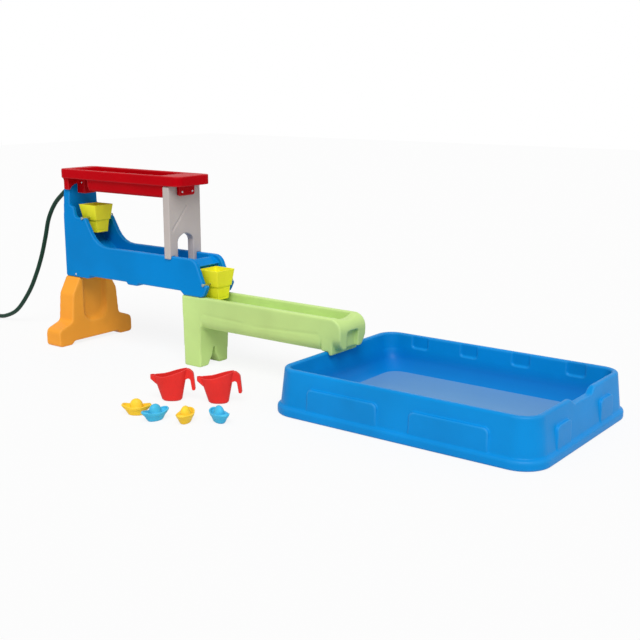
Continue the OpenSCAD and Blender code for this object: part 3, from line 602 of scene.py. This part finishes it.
def plain_mesh(piece: Piece) -> None:
    """Make a piece's evaluated form its plain mesh and remove its modifiers.

    Args:
        piece: The piece.
    """
    evaluated = piece.evaluated_get(bpy.context.evaluated_depsgraph_get())
    mesh = bpy.data.meshes.new_from_object(evaluated)
    piece.modifiers.clear()
    old = piece.data
    piece.data = mesh
    mesh.name = piece.name
    bpy.data.meshes.remove(old)


def closed_piece(form: Form, name: str) -> Piece:
    """Turn a closed form into a piece whose faces point outwards.

    Args:
        form: The form, which is used up.
        name: The piece's name.

    Returns:
        The piece.
    """
    bmesh.ops.recalc_face_normals(form, faces=form.faces)
    mesh = bpy.data.meshes.new(name)
    form.to_mesh(mesh)
    form.free()
    return add_object(name, mesh)


def polar(radius: float, angle: float) -> Pair:
    """Point of a circle at an angle in radians."""
    return radius * math.cos(angle), radius * math.sin(angle)


def bridge(form: Form, low: Sequence[bmesh.types.BMVert],
           high: Sequence[bmesh.types.BMVert]) -> list[bmesh.types.BMFace]:
    """Add the faces between two rings, one of which may be a single point.

    Args:
        form: The form that gets them.
        low: First ring.
        high: Second ring.

    Returns:
        The faces, in the rings' order.
    """
    faces = []
    for k in range(max(len(low), len(high))):
        loop = [low[k % len(low)], low[(k + 1) % len(low)],
                high[(k + 1) % len(high)], high[k % len(high)]]
        faces.append(form.faces.new(list(dict.fromkeys(loop))))
    return faces


def spin(form: Form, profile: Sequence[Pair], at: Point, axis: Axis,
         sides: int) -> None:
    """Turn a profile round an axis into a closed solid.

    Args:
        form: The form that gets the solid.
        profile: Distances along the axis and radii, with a radius of 0 at both ends.
        at: Where the axis starts.
        axis: The axis.
        sides: Steps round the axis.
    """
    turn = Vector(Axis.Z.value).rotation_difference(Vector(axis.value)).to_matrix()
    rings = []
    for along, radius in profile:
        steps = sides if radius else 1
        ring = [Vector((*polar(radius, TURN * k / steps), along)) for k in range(steps)]
        rings.append([form.verts.new(Vector(at) + turn @ spot) for spot in ring])
    for low, high in zip(rings, rings[1:]):
        bridge(form, low, high)


def vertices(mesh: bpy.types.Mesh, what: str) -> np.ndarray:
    """Read a mesh's vertices.

    Args:
        mesh: The mesh.
        what: Their places, co, or their normals, normal.

    Returns:
        One row for each vertex.
    """
    values = np.zeros(len(mesh.vertices) * 3, np.float32)
    mesh.vertices.foreach_get(what, values)
    return values.reshape(-1, 3)


def smooth(piece: Piece, rounds: int, group: str = "") -> None:
    """Add a Smooth modifier, on all vertices or on a group of them."""
    ease = piece.modifiers.new("ease", "SMOOTH")
    ease.factor, ease.iterations, ease.vertex_group = 0.5, rounds, group


# Mouldings


class Relief:
    """A change of shape that a moulding's mesh gets after its edges are rounded."""

    def moved(self, place: np.ndarray, normal: np.ndarray) -> np.ndarray:
        """Move the vertices.

        Args:
            place: Their places, one row each.
            normal: Their normals.

        Returns:
            Their new places.
        """
        raise NotImplementedError

    def press(self, piece: Piece) -> None:
        """Change the piece's mesh.

        Args:
            piece: The piece.
        """
        mesh = piece.data
        place = self.moved(vertices(mesh, "co"), vertices(mesh, "normal"))
        mesh.vertices.foreach_set("co", place.astype(np.float32).ravel())
        mesh.update()


@dataclass(frozen=True)
class PressedLine(Relief):
    """A shallow line in a moulding's face, pressed in along a row of points."""

    points: tuple[Point, ...]
    facing: Axis
    depth: float
    width: float
    turn_gain: float = 2.0
    turn_cut: float = 0.8

    def moved(self, place: np.ndarray, normal: np.ndarray) -> np.ndarray:
        """Push in the vertices that look the line's way and lie near it.

        Args:
            place: Their places, one row each.
            normal: Their normals.

        Returns:
            Their new places.
        """
        way = np.array(self.facing.value, np.float32)
        flat = place - np.outer(place @ way, way)
        near = np.full(len(place), np.inf)
        for a, b in zip(self.points, self.points[1:]):
            start = np.array(a) - way * np.dot(a, way)
            run = np.array(b) - way * np.dot(b, way) - start
            share = np.clip((flat - start) @ run / (run @ run), 0, 1)
            near = np.minimum(near, np.linalg.norm(flat - start - share[:, None] * run, axis=1))
        looks = np.clip(normal @ way * self.turn_gain - self.turn_cut, 0, 1)
        push = self.depth * np.exp(-((near / self.width) ** 2)) * looks
        return place - push[:, None] * way


@dataclass(frozen=True)
class Belly(Relief):
    """A fuller underside over a stretch along X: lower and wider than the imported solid's."""

    start: float
    end: float
    fade: float
    low: float
    high: float
    drop: float
    spread: float

    def moved(self, place: np.ndarray, normal: np.ndarray) -> np.ndarray:
        """Lower and spread the vertices of the underside.

        Args:
            place: Their places, one row each.
            normal: Their normals; not used.

        Returns:
            Their new places.
        """
        place = place.astype(np.float64)
        x, z = place[:, 0], place[:, 2]
        share = np.ones(len(place))
        for part in ((x - self.start) / self.fade, (self.end - x) / self.fade,
                     (self.high - z) / (self.high - self.low)):
            part = np.clip(part, 0, 1)
            share *= part * part * (3 - 2 * part)
        place[:, 1] *= 1 + self.spread * share
        place[:, 2] -= self.drop * share
        return place


@dataclass(frozen=True)
class FlatArch(Relief):
    """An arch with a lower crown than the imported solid's, on what lies before a plane across X."""

    end: float
    low: float
    crown: float
    high: float
    drop: float

    def moved(self, place: np.ndarray, normal: np.ndarray) -> np.ndarray:
        """Sink what lies between two heights, most at the crown.

        Args:
            place: The vertices' places, one row each.
            normal: Their normals; not used.

        Returns:
            Their new places.
        """
        place = place.astype(np.float64)
        share = np.interp(place[:, 2], (self.low, self.crown, self.high), (0, 1, 0))
        place[:, 2] -= self.drop * share * (place[:, 0] < self.end)
        return place


@dataclass(frozen=True)
class Cove(Relief):
    """Inside corners of a basin that the mould leaves much rounder than its edges."""

    half: Pair
    corner: float
    low: float
    high: float
    rounds: int

    def press(self, piece: Piece) -> None:
        """Smooth the vertices inside the basin's rounded outline and between two heights.

        Args:
            piece: The piece.
        """
        place = vertices(piece.data, "co")
        past = np.maximum(np.abs(place[:, :2]) - np.array(self.half) + self.corner, 0)
        inside = np.hypot(past[:, 0], past[:, 1]) < self.corner
        inside &= (place[:, 2] > self.low) & (place[:, 2] < self.high)
        group = piece.vertex_groups.new(name="cove")
        group.add([int(k) for k in np.flatnonzero(inside)], 1.0, "REPLACE")
        smooth(piece, self.rounds, group.name)
        plain_mesh(piece)
        piece.vertex_groups.clear()


@dataclass
class SoftMoulding:
    """A moulded piece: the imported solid's skin with its edges rounded as a mould leaves them."""

    node: str
    finish: Finish
    slot: Slot
    body: str = TABLE_BODY
    voxel: float = 3 * MM
    radius: float = 6 * MM
    keep: float = 0.6
    reliefs: Sequence[Relief] = ()
    merge: float = 0.01 * MM
    spread: float = 1.48

    def rounds(self) -> int:
        """Smoothing rounds that give the edge radius on this grid."""
        return max(1, round((self.spread * self.radius / self.voxel) ** 2))

    def skin(self) -> Piece:
        """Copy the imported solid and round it.

        Returns:
            The piece, with a plain mesh.
        """
        mesh = frame["nodes"][self.node].data.copy()
        form = bmesh.new()
        form.from_mesh(mesh)
        bmesh.ops.remove_doubles(form, verts=form.verts, dist=self.merge)
        form.to_mesh(mesh)
        form.free()
        piece = add_object(self.node + "_moulding", mesh)
        grid = piece.modifiers.new("grid", "REMESH")
        grid.mode, grid.voxel_size = "VOXEL", self.voxel
        smooth(piece, self.rounds())
        plain_mesh(piece)
        for relief in self.reliefs:
            relief.press(piece)
        piece.modifiers.new("thin", "DECIMATE").ratio = self.keep
        plain_mesh(piece)
        piece.data.shade_smooth()
        return piece

    def build(self) -> None:
        """Build and dress the moulding."""
        settle(self.skin(), self.finish, self.body, (self.node,))


# Geometry Nodes


class Pattern(Board):
    """A Geometry Nodes tree with named inputs that sets a shape on seed points."""

    def __init__(self, name: str) -> None:
        """Start a tree with a geometry input and output.

        Args:
            name: The tree's name.
        """
        super().__init__(bpy.data.node_groups.new(name, "GeometryNodeTree"))
        for way in ("INPUT", "OUTPUT"):
            self.tree.interface.new_socket("Geometry", in_out=way,
                                           socket_type="NodeSocketGeometry")
        self.values: dict[str, Any] = {}
        self.points = self.add("NodeGroupInput")

    def value(self, name: str, value: Any) -> Wire:
        """Add a named input.

        Args:
            name: The input's name.
            value: The value that the modifier gets.

        Returns:
            The input's wire.
        """
        item = self.tree.interface.new_socket(name, in_out="INPUT",
                                              socket_type=INPUT_KINDS[type(value)])
        self.values[item.identifier] = value
        return self.add("NodeGroupInput", output=item.identifier)

    def set_out(self, shape: Wire, finish: Finish) -> None:
        """Set a shape on each seed point, turned the point's way, and end the tree.

        Args:
            shape: The shape, with its Z the way that it looks.
            finish: The finish of the result.
        """
        aim = self.add("GeometryNodeInputNamedAttribute", {"data_type": "FLOAT_VECTOR"},
                       {"Name": "aim"})
        turn = self.add("FunctionNodeAlignRotationToVector", {"axis": "Z"}, {"Vector": aim})
        copies = self.add("GeometryNodeInstanceOnPoints", {},
                          {"Points": self.points, "Instance": shape, "Rotation": turn})
        paint = self.value("Finish", finish.material())
        real = self.add("GeometryNodeRealizeInstances", {}, {0: copies})
        done = self.add("GeometryNodeSetMaterial", {}, {"Geometry": real, "Material": paint})
        self.add("NodeGroupOutput", {}, {0: done})

    def grow(self, name: str, places: Sequence[Point], aims: Sequence[Point]) -> Piece:
        """Run the tree on seed points.

        Args:
            name: The piece's name.
            places: The points.
            aims: The way that each looks.

        Returns:
            The piece, with a plain mesh.
        """
        seeds = bpy.data.meshes.new(name + "_seeds")
        seeds.from_pydata(places, [], [])
        aim = seeds.attributes.new("aim", "FLOAT_VECTOR", "POINT")
        aim.data.foreach_set("vector", [x for way in aims for x in way])
        piece = add_object(name, seeds)
        modifier = piece.modifiers.new("pattern", "NODES")
        modifier.node_group = self.tree
        for identifier, value in self.values.items():
            modifier[identifier] = value
        plain_mesh(piece)
        return piece


# Sub-assemblies


@dataclass
class Studio:
    """Camera, soft light, pale floor and backdrop."""

    eye: Point = (1.6908, -2.9865, 1.1012)
    yaw: float = 36.833
    dip: float = 12.838
    lens: float = 58.99
    sensor: float = 36.0
    far: float = 100.0
    to_sun: Point = (0.38, -0.50, 0.78)
    sun: float = 2.2
    sun_spread: float = 35.0
    sky: float = 0.5
    floor_half: float = 14.0
    floor_tone: float = 0.8
    floor_white: float = 0.86

    def camera(self) -> None:
        """Place the camera as the photograph has it."""
        data = bpy.data.cameras.new("camera")
        data.lens, data.sensor_width, data.clip_end = self.lens, self.sensor, self.far
        camera = add_object("camera", data)
        camera.location = self.eye
        camera.rotation_euler = (math.radians(90 - self.dip), 0.0, math.radians(self.yaw))
        bpy.context.scene.camera = camera

    def lamp(self) -> None:
        """Hang one broad lamp above the seen side."""
        data = bpy.data.lights.new("lamp", "SUN")
        data.energy, data.angle = self.sun, math.radians(self.sun_spread)
        lamp = add_object("lamp", data)
        lamp.rotation_mode = "QUATERNION"
        lamp.rotation_quaternion = Vector(self.to_sun).to_track_quat("Z", "Y")

    @staticmethod
    def seen(board: Board) -> Wire:
        """One where a ray comes from the camera, a reflection or clear stuff."""
        camera, glossy, clear = (board.add("ShaderNodeLightPath", output=f"Is {kind} Ray")
                                 for kind in ("Camera", "Glossy", "Transmission"))
        return camera.larger(glossy).larger(clear)

    def backdrop(self) -> None:
        """Light the world evenly and show it white."""
        world = bpy.data.worlds.new("backdrop")
        bpy.context.scene.world = world
        board = Board.of(world)
        light, white = (board.add("ShaderNodeBackground", {}, {"Color": WHITE, "Strength": level})
                        for level in (self.sky, 1.0))
        mixed = board.add("ShaderNodeMixShader", {}, {0: self.seen(board), 1: light, 2: white})
        board.add("ShaderNodeOutputWorld", {}, {"Surface": mixed})

    def floor(self) -> None:
        """Lay a pale floor that shows nearly white and keeps the shadow."""
        mesh = bpy.data.meshes.new("floor")
        h = self.floor_half
        mesh.from_pydata([(-h, -h, 0), (h, -h, 0), (h, h, 0), (-h, h, 0)], [], [(0, 1, 2, 3)])
        floor = add_object("floor", mesh)
        material = bpy.data.materials.new("floor_paper")
        board = Board.of(material)
        matt = board.add("ShaderNodeBsdfDiffuse", {}, {"Color": (self.floor_tone,) * 3 + (1.0,)})
        white = board.add("ShaderNodeEmission", {}, {"Color": WHITE, "Strength": 1.0})
        share = self.seen(board) * self.floor_white
        mixed = board.add("ShaderNodeMixShader", {}, {0: share, 1: matt, 2: white})
        board.add("ShaderNodeOutputMaterial", {}, {"Surface": mixed})
        mesh.materials.append(material)

    def build(self) -> None:
        """Set up the whole studio."""
        bpy.context.scene.view_settings.view_transform = "Standard"
        self.camera()
        self.lamp()
        self.backdrop()
        self.floor()
        log.info("studio ready")


@dataclass
class GardenHose:
    """The garden hose: it leaves the connector, drops to the ground and ends in a coil."""

    route: tuple[Point, ...] = (
        (-1.886, 0, 0.6476), (-1.906, 0, 0.6476), (-1.938, 0, 0.6276), (-2.0, 0, 0.5766),
        (-2.048, 0, 0.507), (-2.078, 0, 0.422), (-2.113, 0, 0.333), (-2.158, 0, 0.246),
        (-2.218, 0, 0.156), (-2.31, 0, 0.062), (-2.4, 0, 0.02), (-2.47, 0, 0.01),
        (-2.52, 0, 0.01), (-2.541, 0, 0.01))
    diameter: float = 0.019
    sides: int = 20
    steps: int = 10
    coil_at: Pair = (-2.56, -0.142)
    coil_r: float = 0.142
    coil_start: float = 90.0
    coil_pitch: float = 0.0206
    coil_tuck: float = 0.042
    coil_lift: float = 0.0072
    tuck_from: float = 1.5
    turns: float = 2.25
    rings: int = 64
    tie_turn: float = 0.5
    tie_t: float = 0.4 * MM
    tie_w: float = 7 * MM
    tie_step: int = 15
    buckle: Point = (11 * MM, 9.5 * MM, 4.8 * MM)
    buckle_up: float = 2.2 * MM
    buckle_edge: float = 1.2 * MM

    def curve(self) -> list[Vector]:
        """Smooth line through the route, straight at both ends.

        Returns:
            Its points.
        """
        p = [Vector(q) for q in self.route]
        inner = p[1:-1]
        line = [p[0]]
        for i in range(len(inner) - 1):
            a, b = inner[max(i - 1, 0)], inner[i]
            c, d = inner[i + 1], inner[min(i + 2, len(inner) - 1)]
            for k in range(self.steps):
                t = k / self.steps
                line.append(b + (c - a) * t / 2 + (2 * a - 5 * b + 4 * c - d) * t * t / 2
                            + (3 * b - a - 3 * c + d) * t ** 3 / 2)
        return line + [inner[-1], p[-1]]

    def wound(self, t: float) -> Vector:
        """Point of the coil after some turns.

        Args:
            t: Turns from the coil's start.

        Returns:
            The point.
        """
        tuck = max(0.0, t - self.tuck_from) ** 2
        radius = self.coil_r - self.coil_pitch * t - self.coil_tuck * tuck
        x, y = polar(radius, math.radians(self.coil_start + 360 * t))
        return Vector((self.coil_at[0] + x, self.coil_at[1] + y,
                       self.route[-1][2] + self.coil_lift * tuck))

    def line(self) -> list[Vector]:
        """Lay out the hose's whole centreline.

        Returns:
            Its points, from the connector to the coupling.
        """
        coil = [self.wound(i / self.rings) for i in range(round(self.turns * self.rings) + 1)]
        last = (coil[-1] - coil[-2]).normalized()
        return self.curve() + coil + [coil[-1] + last * self.diameter]

    def tube(self, line: Sequence[Vector]) -> Piece:
        """Sweep a round tube along a line, with its length and turn as a UV map.

        Args:
            line: The centreline.

        Returns:
            The closed tube.
        """
        form = bmesh.new()
        uv = form.loops.layers.uv.new("along")
        radius = self.diameter / 2
        side = Vector(Axis.Y.value)
        rings, runs, run = [], [], 0.0
        for i, p in enumerate(line):
            run += (p - line[i - 1]).length if i else 0.0
            runs.append(run)
            way = (line[min(i + 1, len(line) - 1)] - line[max(i - 1, 0)]).normalized()
            side = (side - way * side.dot(way)).normalized()
            up = way.cross(side)
            rings.append([form.verts.new(p + radius * (math.cos(g) * side + math.sin(g) * up))
                          for g in (TURN * k / self.sides for k in range(self.sides))])
        for i, (low, high) in enumerate(zip(rings, rings[1:])):
            for k, face in enumerate(bridge(form, low, high)):
                face.smooth = True
                marks = ((i, k), (i, k + 1), (i + 1, k + 1), (i + 1, k))
                for loop, (a, b) in zip(face.loops, marks):
                    loop[uv].uv = (runs[a], b / self.sides)
        form.faces.new(list(reversed(rings[0])))
        form.faces.new(rings[-1])
        return closed_piece(form, "garden_hose")

    def tie(self) -> Piece:
        """Strap round the coil's turns, which lie side by side where it sits.

        Returns:
            The piece.
        """
        ends = [self.wound(t) for t in (self.tie_turn, self.tie_turn + 1)]
        centre = Vector((*self.coil_at, ends[0].z))
        out = (ends[0] - centre).normalized()
        along = Vector(Axis.Z.value).cross(out)
        far, near = ((e - centre).length for e in ends)
        radius, middle, half = self.diameter / 2, (far + near) / 2, self.tie_w / 2
        form = bmesh.new()
        rows = []
        for at, start in ((far, -90), (near, 90)):
            for angle in range(start, start + 181, self.tie_step):
                x, z = polar(radius, math.radians(angle))
                r = at + x
                grow = Vector((r - middle, z)).normalized() * self.tie_t
                rows.append([
                    form.verts.new(centre + out * (r + dr) + Vector((0, 0, z + dz)) + along * s)
                    for dr, dz, s in ((0, 0, -half), (grow.x, grow.y, -half),
                                      (grow.x, grow.y, half), (0, 0, half))])
        for row, following in zip(rows, rows[1:] + rows[:1]):
            bridge(form, row, following)
        buckle = bmesh.ops.create_cube(form, size=1.0, matrix=(
            Matrix.Translation(centre + out * middle + Vector((0, 0, radius + self.buckle_up)))
            @ Matrix.Rotation(math.atan2(out.y, out.x), 4, "Z")
            @ Matrix.Diagonal((*self.buckle, 1.0))))
        edges = list({e for v in buckle["verts"] for e in v.link_edges})
        bmesh.ops.bevel(form, geom=edges, offset=self.buckle_edge, segments=3, profile=0.5,
                        affect="EDGES")
        return settle(closed_piece(form, "hose_tie"), BLACK, TABLE_BODY)

    def build(self) -> None:
        line = self.line()
        hose = settle(self.tube(line), HOSE, TABLE_BODY, ("hose", "hose_coil"))
        tie = self.tie()
        length = sum((b - a).length for a, b in zip(line, line[1:]))


@dataclass
class PlayPool:
    """The low pool and the shallow water in it."""

    water_z: float = 0.0262
    water_t: float = 0.0066
    water_l: float = 0.82
    water_w: float = 0.554
    water_r: float = 0.06
    corner_steps: int = 10
    cove: Cove = Cove(BLUE_POOL.half, BLUE_POOL.corner, low=0.012, high=0.100, rounds=400)

    def outline(self) -> list[Pair]:
        """Rounded outline of the water's face.

        Returns:
            Its points.
        """
        x, y = self.water_l / 2 - self.water_r, self.water_w / 2 - self.water_r
        line = []
        for cx, cy, start in ((x, y, 0), (-x, y, 90), (-x, -y, 180), (x, -y, 270)):
            for k in range(self.corner_steps + 1):
                dx, dy = polar(self.water_r, math.radians(start + 90 * k / self.corner_steps))
                line.append((cx + dx, cy + dy))
        return line

    def water(self) -> None:
        """Lay the water as a thin closed sheet on the floor."""
        form = bmesh.new()
        top, low = ([form.verts.new((x, y, z)) for x, y in self.outline()]
                    for z in (self.water_z, self.water_z - self.water_t))
        form.faces.new(top)
        form.faces.new(list(reversed(low)))
        bridge(form, top, low)
        settle(closed_piece(form, "pool_water"), WATER, TABLE_BODY)

    def build(self) -> None:
        """Build the pool."""
        SoftMoulding("pool_basin", BLUE_POOL, Slot.POOL, voxel=2.8 * MM, radius=3.4 * MM,
                     keep=0.17, reliefs=(self.cove,)).build()
        self.water()


@dataclass
class Cascade:
    """The three troughs, the stand and the arch."""

    arch_crease: PressedLine = PressedLine(
        ((-1.212, -0.070, 0.531), (-1.212, 0.012, 0.621)), Axis.X, depth=2 * MM, width=4.5 * MM)
    green_creases: tuple[PressedLine, ...] = tuple(
        PressedLine(points, Axis.BACK_Y, depth=0.8 * MM, width=5 * MM) for points in (
            ((-1.05, -0.08, 0.218), (-0.86, -0.08, 0.211)),
            ((-0.80, -0.08, 0.204), (-0.50, -0.08, 0.219))))
    green_belly: Belly = Belly(start=-1.075, end=-0.4825, fade=0.008, low=0.170, high=0.215,
                               drop=10 * MM, spread=0.14)
    plate_arch: FlatArch = FlatArch(end=-1.800, low=0.655, crown=0.690, high=0.704, drop=10 * MM)

    def build(self) -> None:
        """Build the mouldings from the pool up."""
        SoftMoulding("lower_trough", GREEN, Slot.GREEN,
                     reliefs=(self.green_belly, *self.green_creases)).build()
        SoftMoulding("middle_trough", BLUE_TROUGH, Slot.TROUGH, voxel=2.5 * MM, radius=4.5 * MM,
                     reliefs=(self.plate_arch,)).build()
        SoftMoulding("base_stand", ORANGE, Slot.ORANGE, radius=10 * MM).build()
        SoftMoulding("upper_trough", RED, Slot.RED, voxel=2.5 * MM, radius=5 * MM,
                     reliefs=(self.plate_arch,)).build()
        SoftMoulding("arch_support", GREY, Slot.GREY, voxel=2.5 * MM, radius=4 * MM,
                     reliefs=(self.arch_crease,)).build()


@dataclass
class TippingBucket:
    """A tipping bucket with its axle and end caps."""

    name: str
    pivot: Point
    cap_r: float = 6.5 * MM
    cap_t: float = 4 * MM
    cap_in: float = 82.3 * MM
    cap_bevel: Pair = (0.5 * MM, 0.6 * MM)
    cap_dome: tuple[Pair, ...] = ((0.55, 1.0), (0.82, 0.86), (0.97, 0.6), (1.0, 0.42),
                                  (0.9, 0.3), (0.88, 0.0))
    cap_sides: int = 32
    panel: tuple[Pair, ...] = ((-23 * MM, -56 * MM), (23 * MM, -56 * MM),
                               (27 * MM, -19 * MM), (-27 * MM, -19 * MM))
    line_depth: float = 0.9 * MM
    line_width: float = 1.5 * MM

    def caps(self) -> None:
        """Turn a domed cap for each end of the axle."""
        r, t = self.cap_r, self.cap_t
        profile = [(0, 0), (0, r - self.cap_bevel[1]), (self.cap_bevel[0], r),
                   *((along * t, radius * r) for along, radius in self.cap_dome)]
        form = bmesh.new()
        for sign, axis in ((-1, Axis.BACK_Y), (1, Axis.Y)):
            spin(form, profile, (self.pivot[0], sign * self.cap_in, self.pivot[2]), axis,
                 self.cap_sides)
        caps = closed_piece(form, self.name + "_end_caps")
        caps.data.shade_smooth()
        settle(caps, STEEL_CAP, self.name,
               (self.name.replace("bucket", "axle_caps"),))

    def panels(self) -> tuple[PressedLine, ...]:
        """Lines that frame a panel on each lower face.

        Returns:
            One closed line for each of the four faces.
        """
        lines = []
        for facing in (Axis.X, Axis.BACK_X, Axis.Y, Axis.BACK_Y):
            across = Vector(facing.value).cross(Vector(Axis.Z.value))
            points = tuple(tuple(Vector(self.pivot) + across * side + Vector((0, 0, up)))
                           for side, up in self.panel + self.panel[:1])
            lines.append(PressedLine(points, facing, self.line_depth, self.line_width))
        return tuple(lines)

    def build(self) -> None:
        """Build the bucket and dress its axle."""
        SoftMoulding(self.name, YELLOW, Slot.BUCKET, self.name, voxel=0.9 * MM, radius=1.4 * MM,
                     keep=0.35, reliefs=self.panels()).build()
        dress(self.name + "_axle", STEEL_BAR)
        self.caps()


@dataclass
class Fasteners:
    """Domed cross-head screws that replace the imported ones."""

    head_r: float = 4.5 * MM
    head_h: float = 2.5 * MM
    cross_l: float = 5.2 * MM
    cross_w: float = 1.1 * MM
    cross_d: float = 2.2 * MM
    shank_r: float = 2 * MM
    shank_l: float = 12 * MM
    inlet: Point = (-1.783, 0.030, 0.6836)
    base: Point = (-1.786, 0.082, 0.2973)
    arch: Point = (-1.1957, 0.028, 0.6799)

    def pattern(self) -> Pattern:
        """Make the tree that sets a screw on each seed point.

        Returns:
            The tree.
        """
        p = Pattern("cross_head_screws")
        radius, height, length, width, depth, shank, reach = (
            p.value(name, size) for name, size in (
                ("Head radius", self.head_r), ("Head height", self.head_h),
                ("Cross length", self.cross_l), ("Cross width", self.cross_w),
                ("Cross depth", self.cross_d), ("Shank radius", self.shank_r),
                ("Shank length", self.shank_l)))
        ball = p.add("GeometryNodeMeshUVSphere", {}, {"Segments": 28, "Rings": 16, "Radius": 1.0})
        flat = p.add("ShaderNodeCombineXYZ", {}, {"X": radius, "Y": radius, "Z": height})
        dome = p.add("GeometryNodeTransform", {}, {"Geometry": ball, "Scale": flat})
        top = p.add("ShaderNodeCombineXYZ", {}, {"Z": height})
        bars = []
        for x, y in ((length, width), (width, length)):
            size = p.add("ShaderNodeCombineXYZ", {}, {"X": x, "Y": y, "Z": depth})
            bar = p.add("GeometryNodeMeshCube", {}, {"Size": size})
            bars.append(p.add("GeometryNodeTransform", {}, {"Geometry": bar, "Translation": top}))
        head = p.add("GeometryNodeMeshBoolean", {"operation": "DIFFERENCE"},
                     {"Mesh 1": dome, "Mesh 2": bars})
        low = p.add("ShaderNodeCombineXYZ", {}, {"Z": reach * -0.5})
        stem = p.add("GeometryNodeMeshCylinder", {},
                     {"Vertices": 20, "Radius": shank, "Depth": reach})
        sunk = p.add("GeometryNodeTransform", {}, {"Geometry": stem, "Translation": low})
        p.set_out(p.add("GeometryNodeJoinGeometry", {}, {0: [head, sunk]}), STEEL_SCREW)
        return p

    def build(self) -> None:
        """Set the three pairs of screws."""
        sides, ahead = (Axis.BACK_Y.value, Axis.Y.value), (Axis.X.value, Axis.X.value)
        pattern = self.pattern()
        for node, (x, y, z), aims in (("inlet_screws", self.inlet, sides),
                                      ("base_screws", self.base, sides),
                                      ("arch_screws", self.arch, ahead)):
            heads = pattern.grow(node + "_heads", ((x, -y, z), (x, y, z)), aims)
            settle(heads, None, TABLE_BODY, (node,))


@dataclass
class HoseFittings:
    """Connector, coupling, elbow and washer, with grip ribs on the connector's nut."""

    nut_at: Point = (-1.869, 0.0, 0.6476)
    nut_r: float = 13.5 * MM
    ribs: int = 26
    rib_r: float = 1 * MM
    rib_l: float = 26 * MM

    def pattern(self) -> Pattern:
        """Make the tree that rings a nut with ribs at each seed point.

        Returns:
            The tree.
        """
        p = Pattern("grip_ribs")
        count = p.value("Ribs", self.ribs)
        radius, width, length = (p.value(name, size) for name, size in (
            ("Nut radius", self.nut_r), ("Rib radius", self.rib_r), ("Rib length", self.rib_l)))
        ring = p.add("GeometryNodeMeshCircle", {}, {"Vertices": count, "Radius": radius})
        bar = p.add("GeometryNodeMeshCylinder", {},
                    {"Vertices": 10, "Radius": width, "Depth": length})
        p.set_out(p.add("GeometryNodeInstanceOnPoints", {}, {"Points": ring, "Instance": bar}),
                  BLACK)
        return p

    def build(self) -> None:
        """Dress the fittings and add the ribs."""
        for node in ("inlet_elbow", "hose_connector", "hose_coupling"):
            dress(node, BLACK)
        dress("hose_washer", RUBBER)
        ribs = self.pattern().grow("connector_ribs", (self.nut_at,), (Axis.X.value,))
        settle(ribs, None, TABLE_BODY)


@dataclass
class Toys:
    """Two pitchers and two boats of each colour."""

    count: int = 2

    def build(self) -> None:
        """Build every toy."""
        for kind, finish, slot, voxel, radius, keep in (
                ("pitcher", TOY_RED, Slot.TOY_RED, 1.1 * MM, 1.6 * MM, 0.35),
                ("boat_yellow", TOY_YELLOW, Slot.TOY_YELLOW, 1 * MM, 1.8 * MM, 0.5),
                ("boat_blue", TOY_BLUE, Slot.TOY_BLUE, 1 * MM, 1.8 * MM, 0.5)):
            for number in range(1, self.count + 1):
                name = f"{kind}_{number}"
                SoftMoulding(name, finish, slot, name, voxel, radius, keep).build()


def clear_start() -> None:
    """Remove what Blender's start scene holds besides the frame."""
    kept = {*frame["bodies"].values(), *frame["nodes"].values()}
    for thing in [o for o in bpy.data.objects if o not in kept]:
        bpy.data.objects.remove(thing)


def main() -> None:
    """Build the studio and every sub-assembly."""
    logging.basicConfig(level=logging.INFO, format="%(message)s")
    clear_start()
    Studio().build()
    GardenHose().build()
    PlayPool().build()
    Cascade().build()
    TippingBucket("upper_bucket", (-1.72884, 0.0, 0.5406)).build()
    TippingBucket("lower_bucket", (-1.047, 0.0, 0.3336)).build()
    Fasteners().build()
    HoseFittings().build()
    Toys().build()


if __name__ == "__main__":
    main()
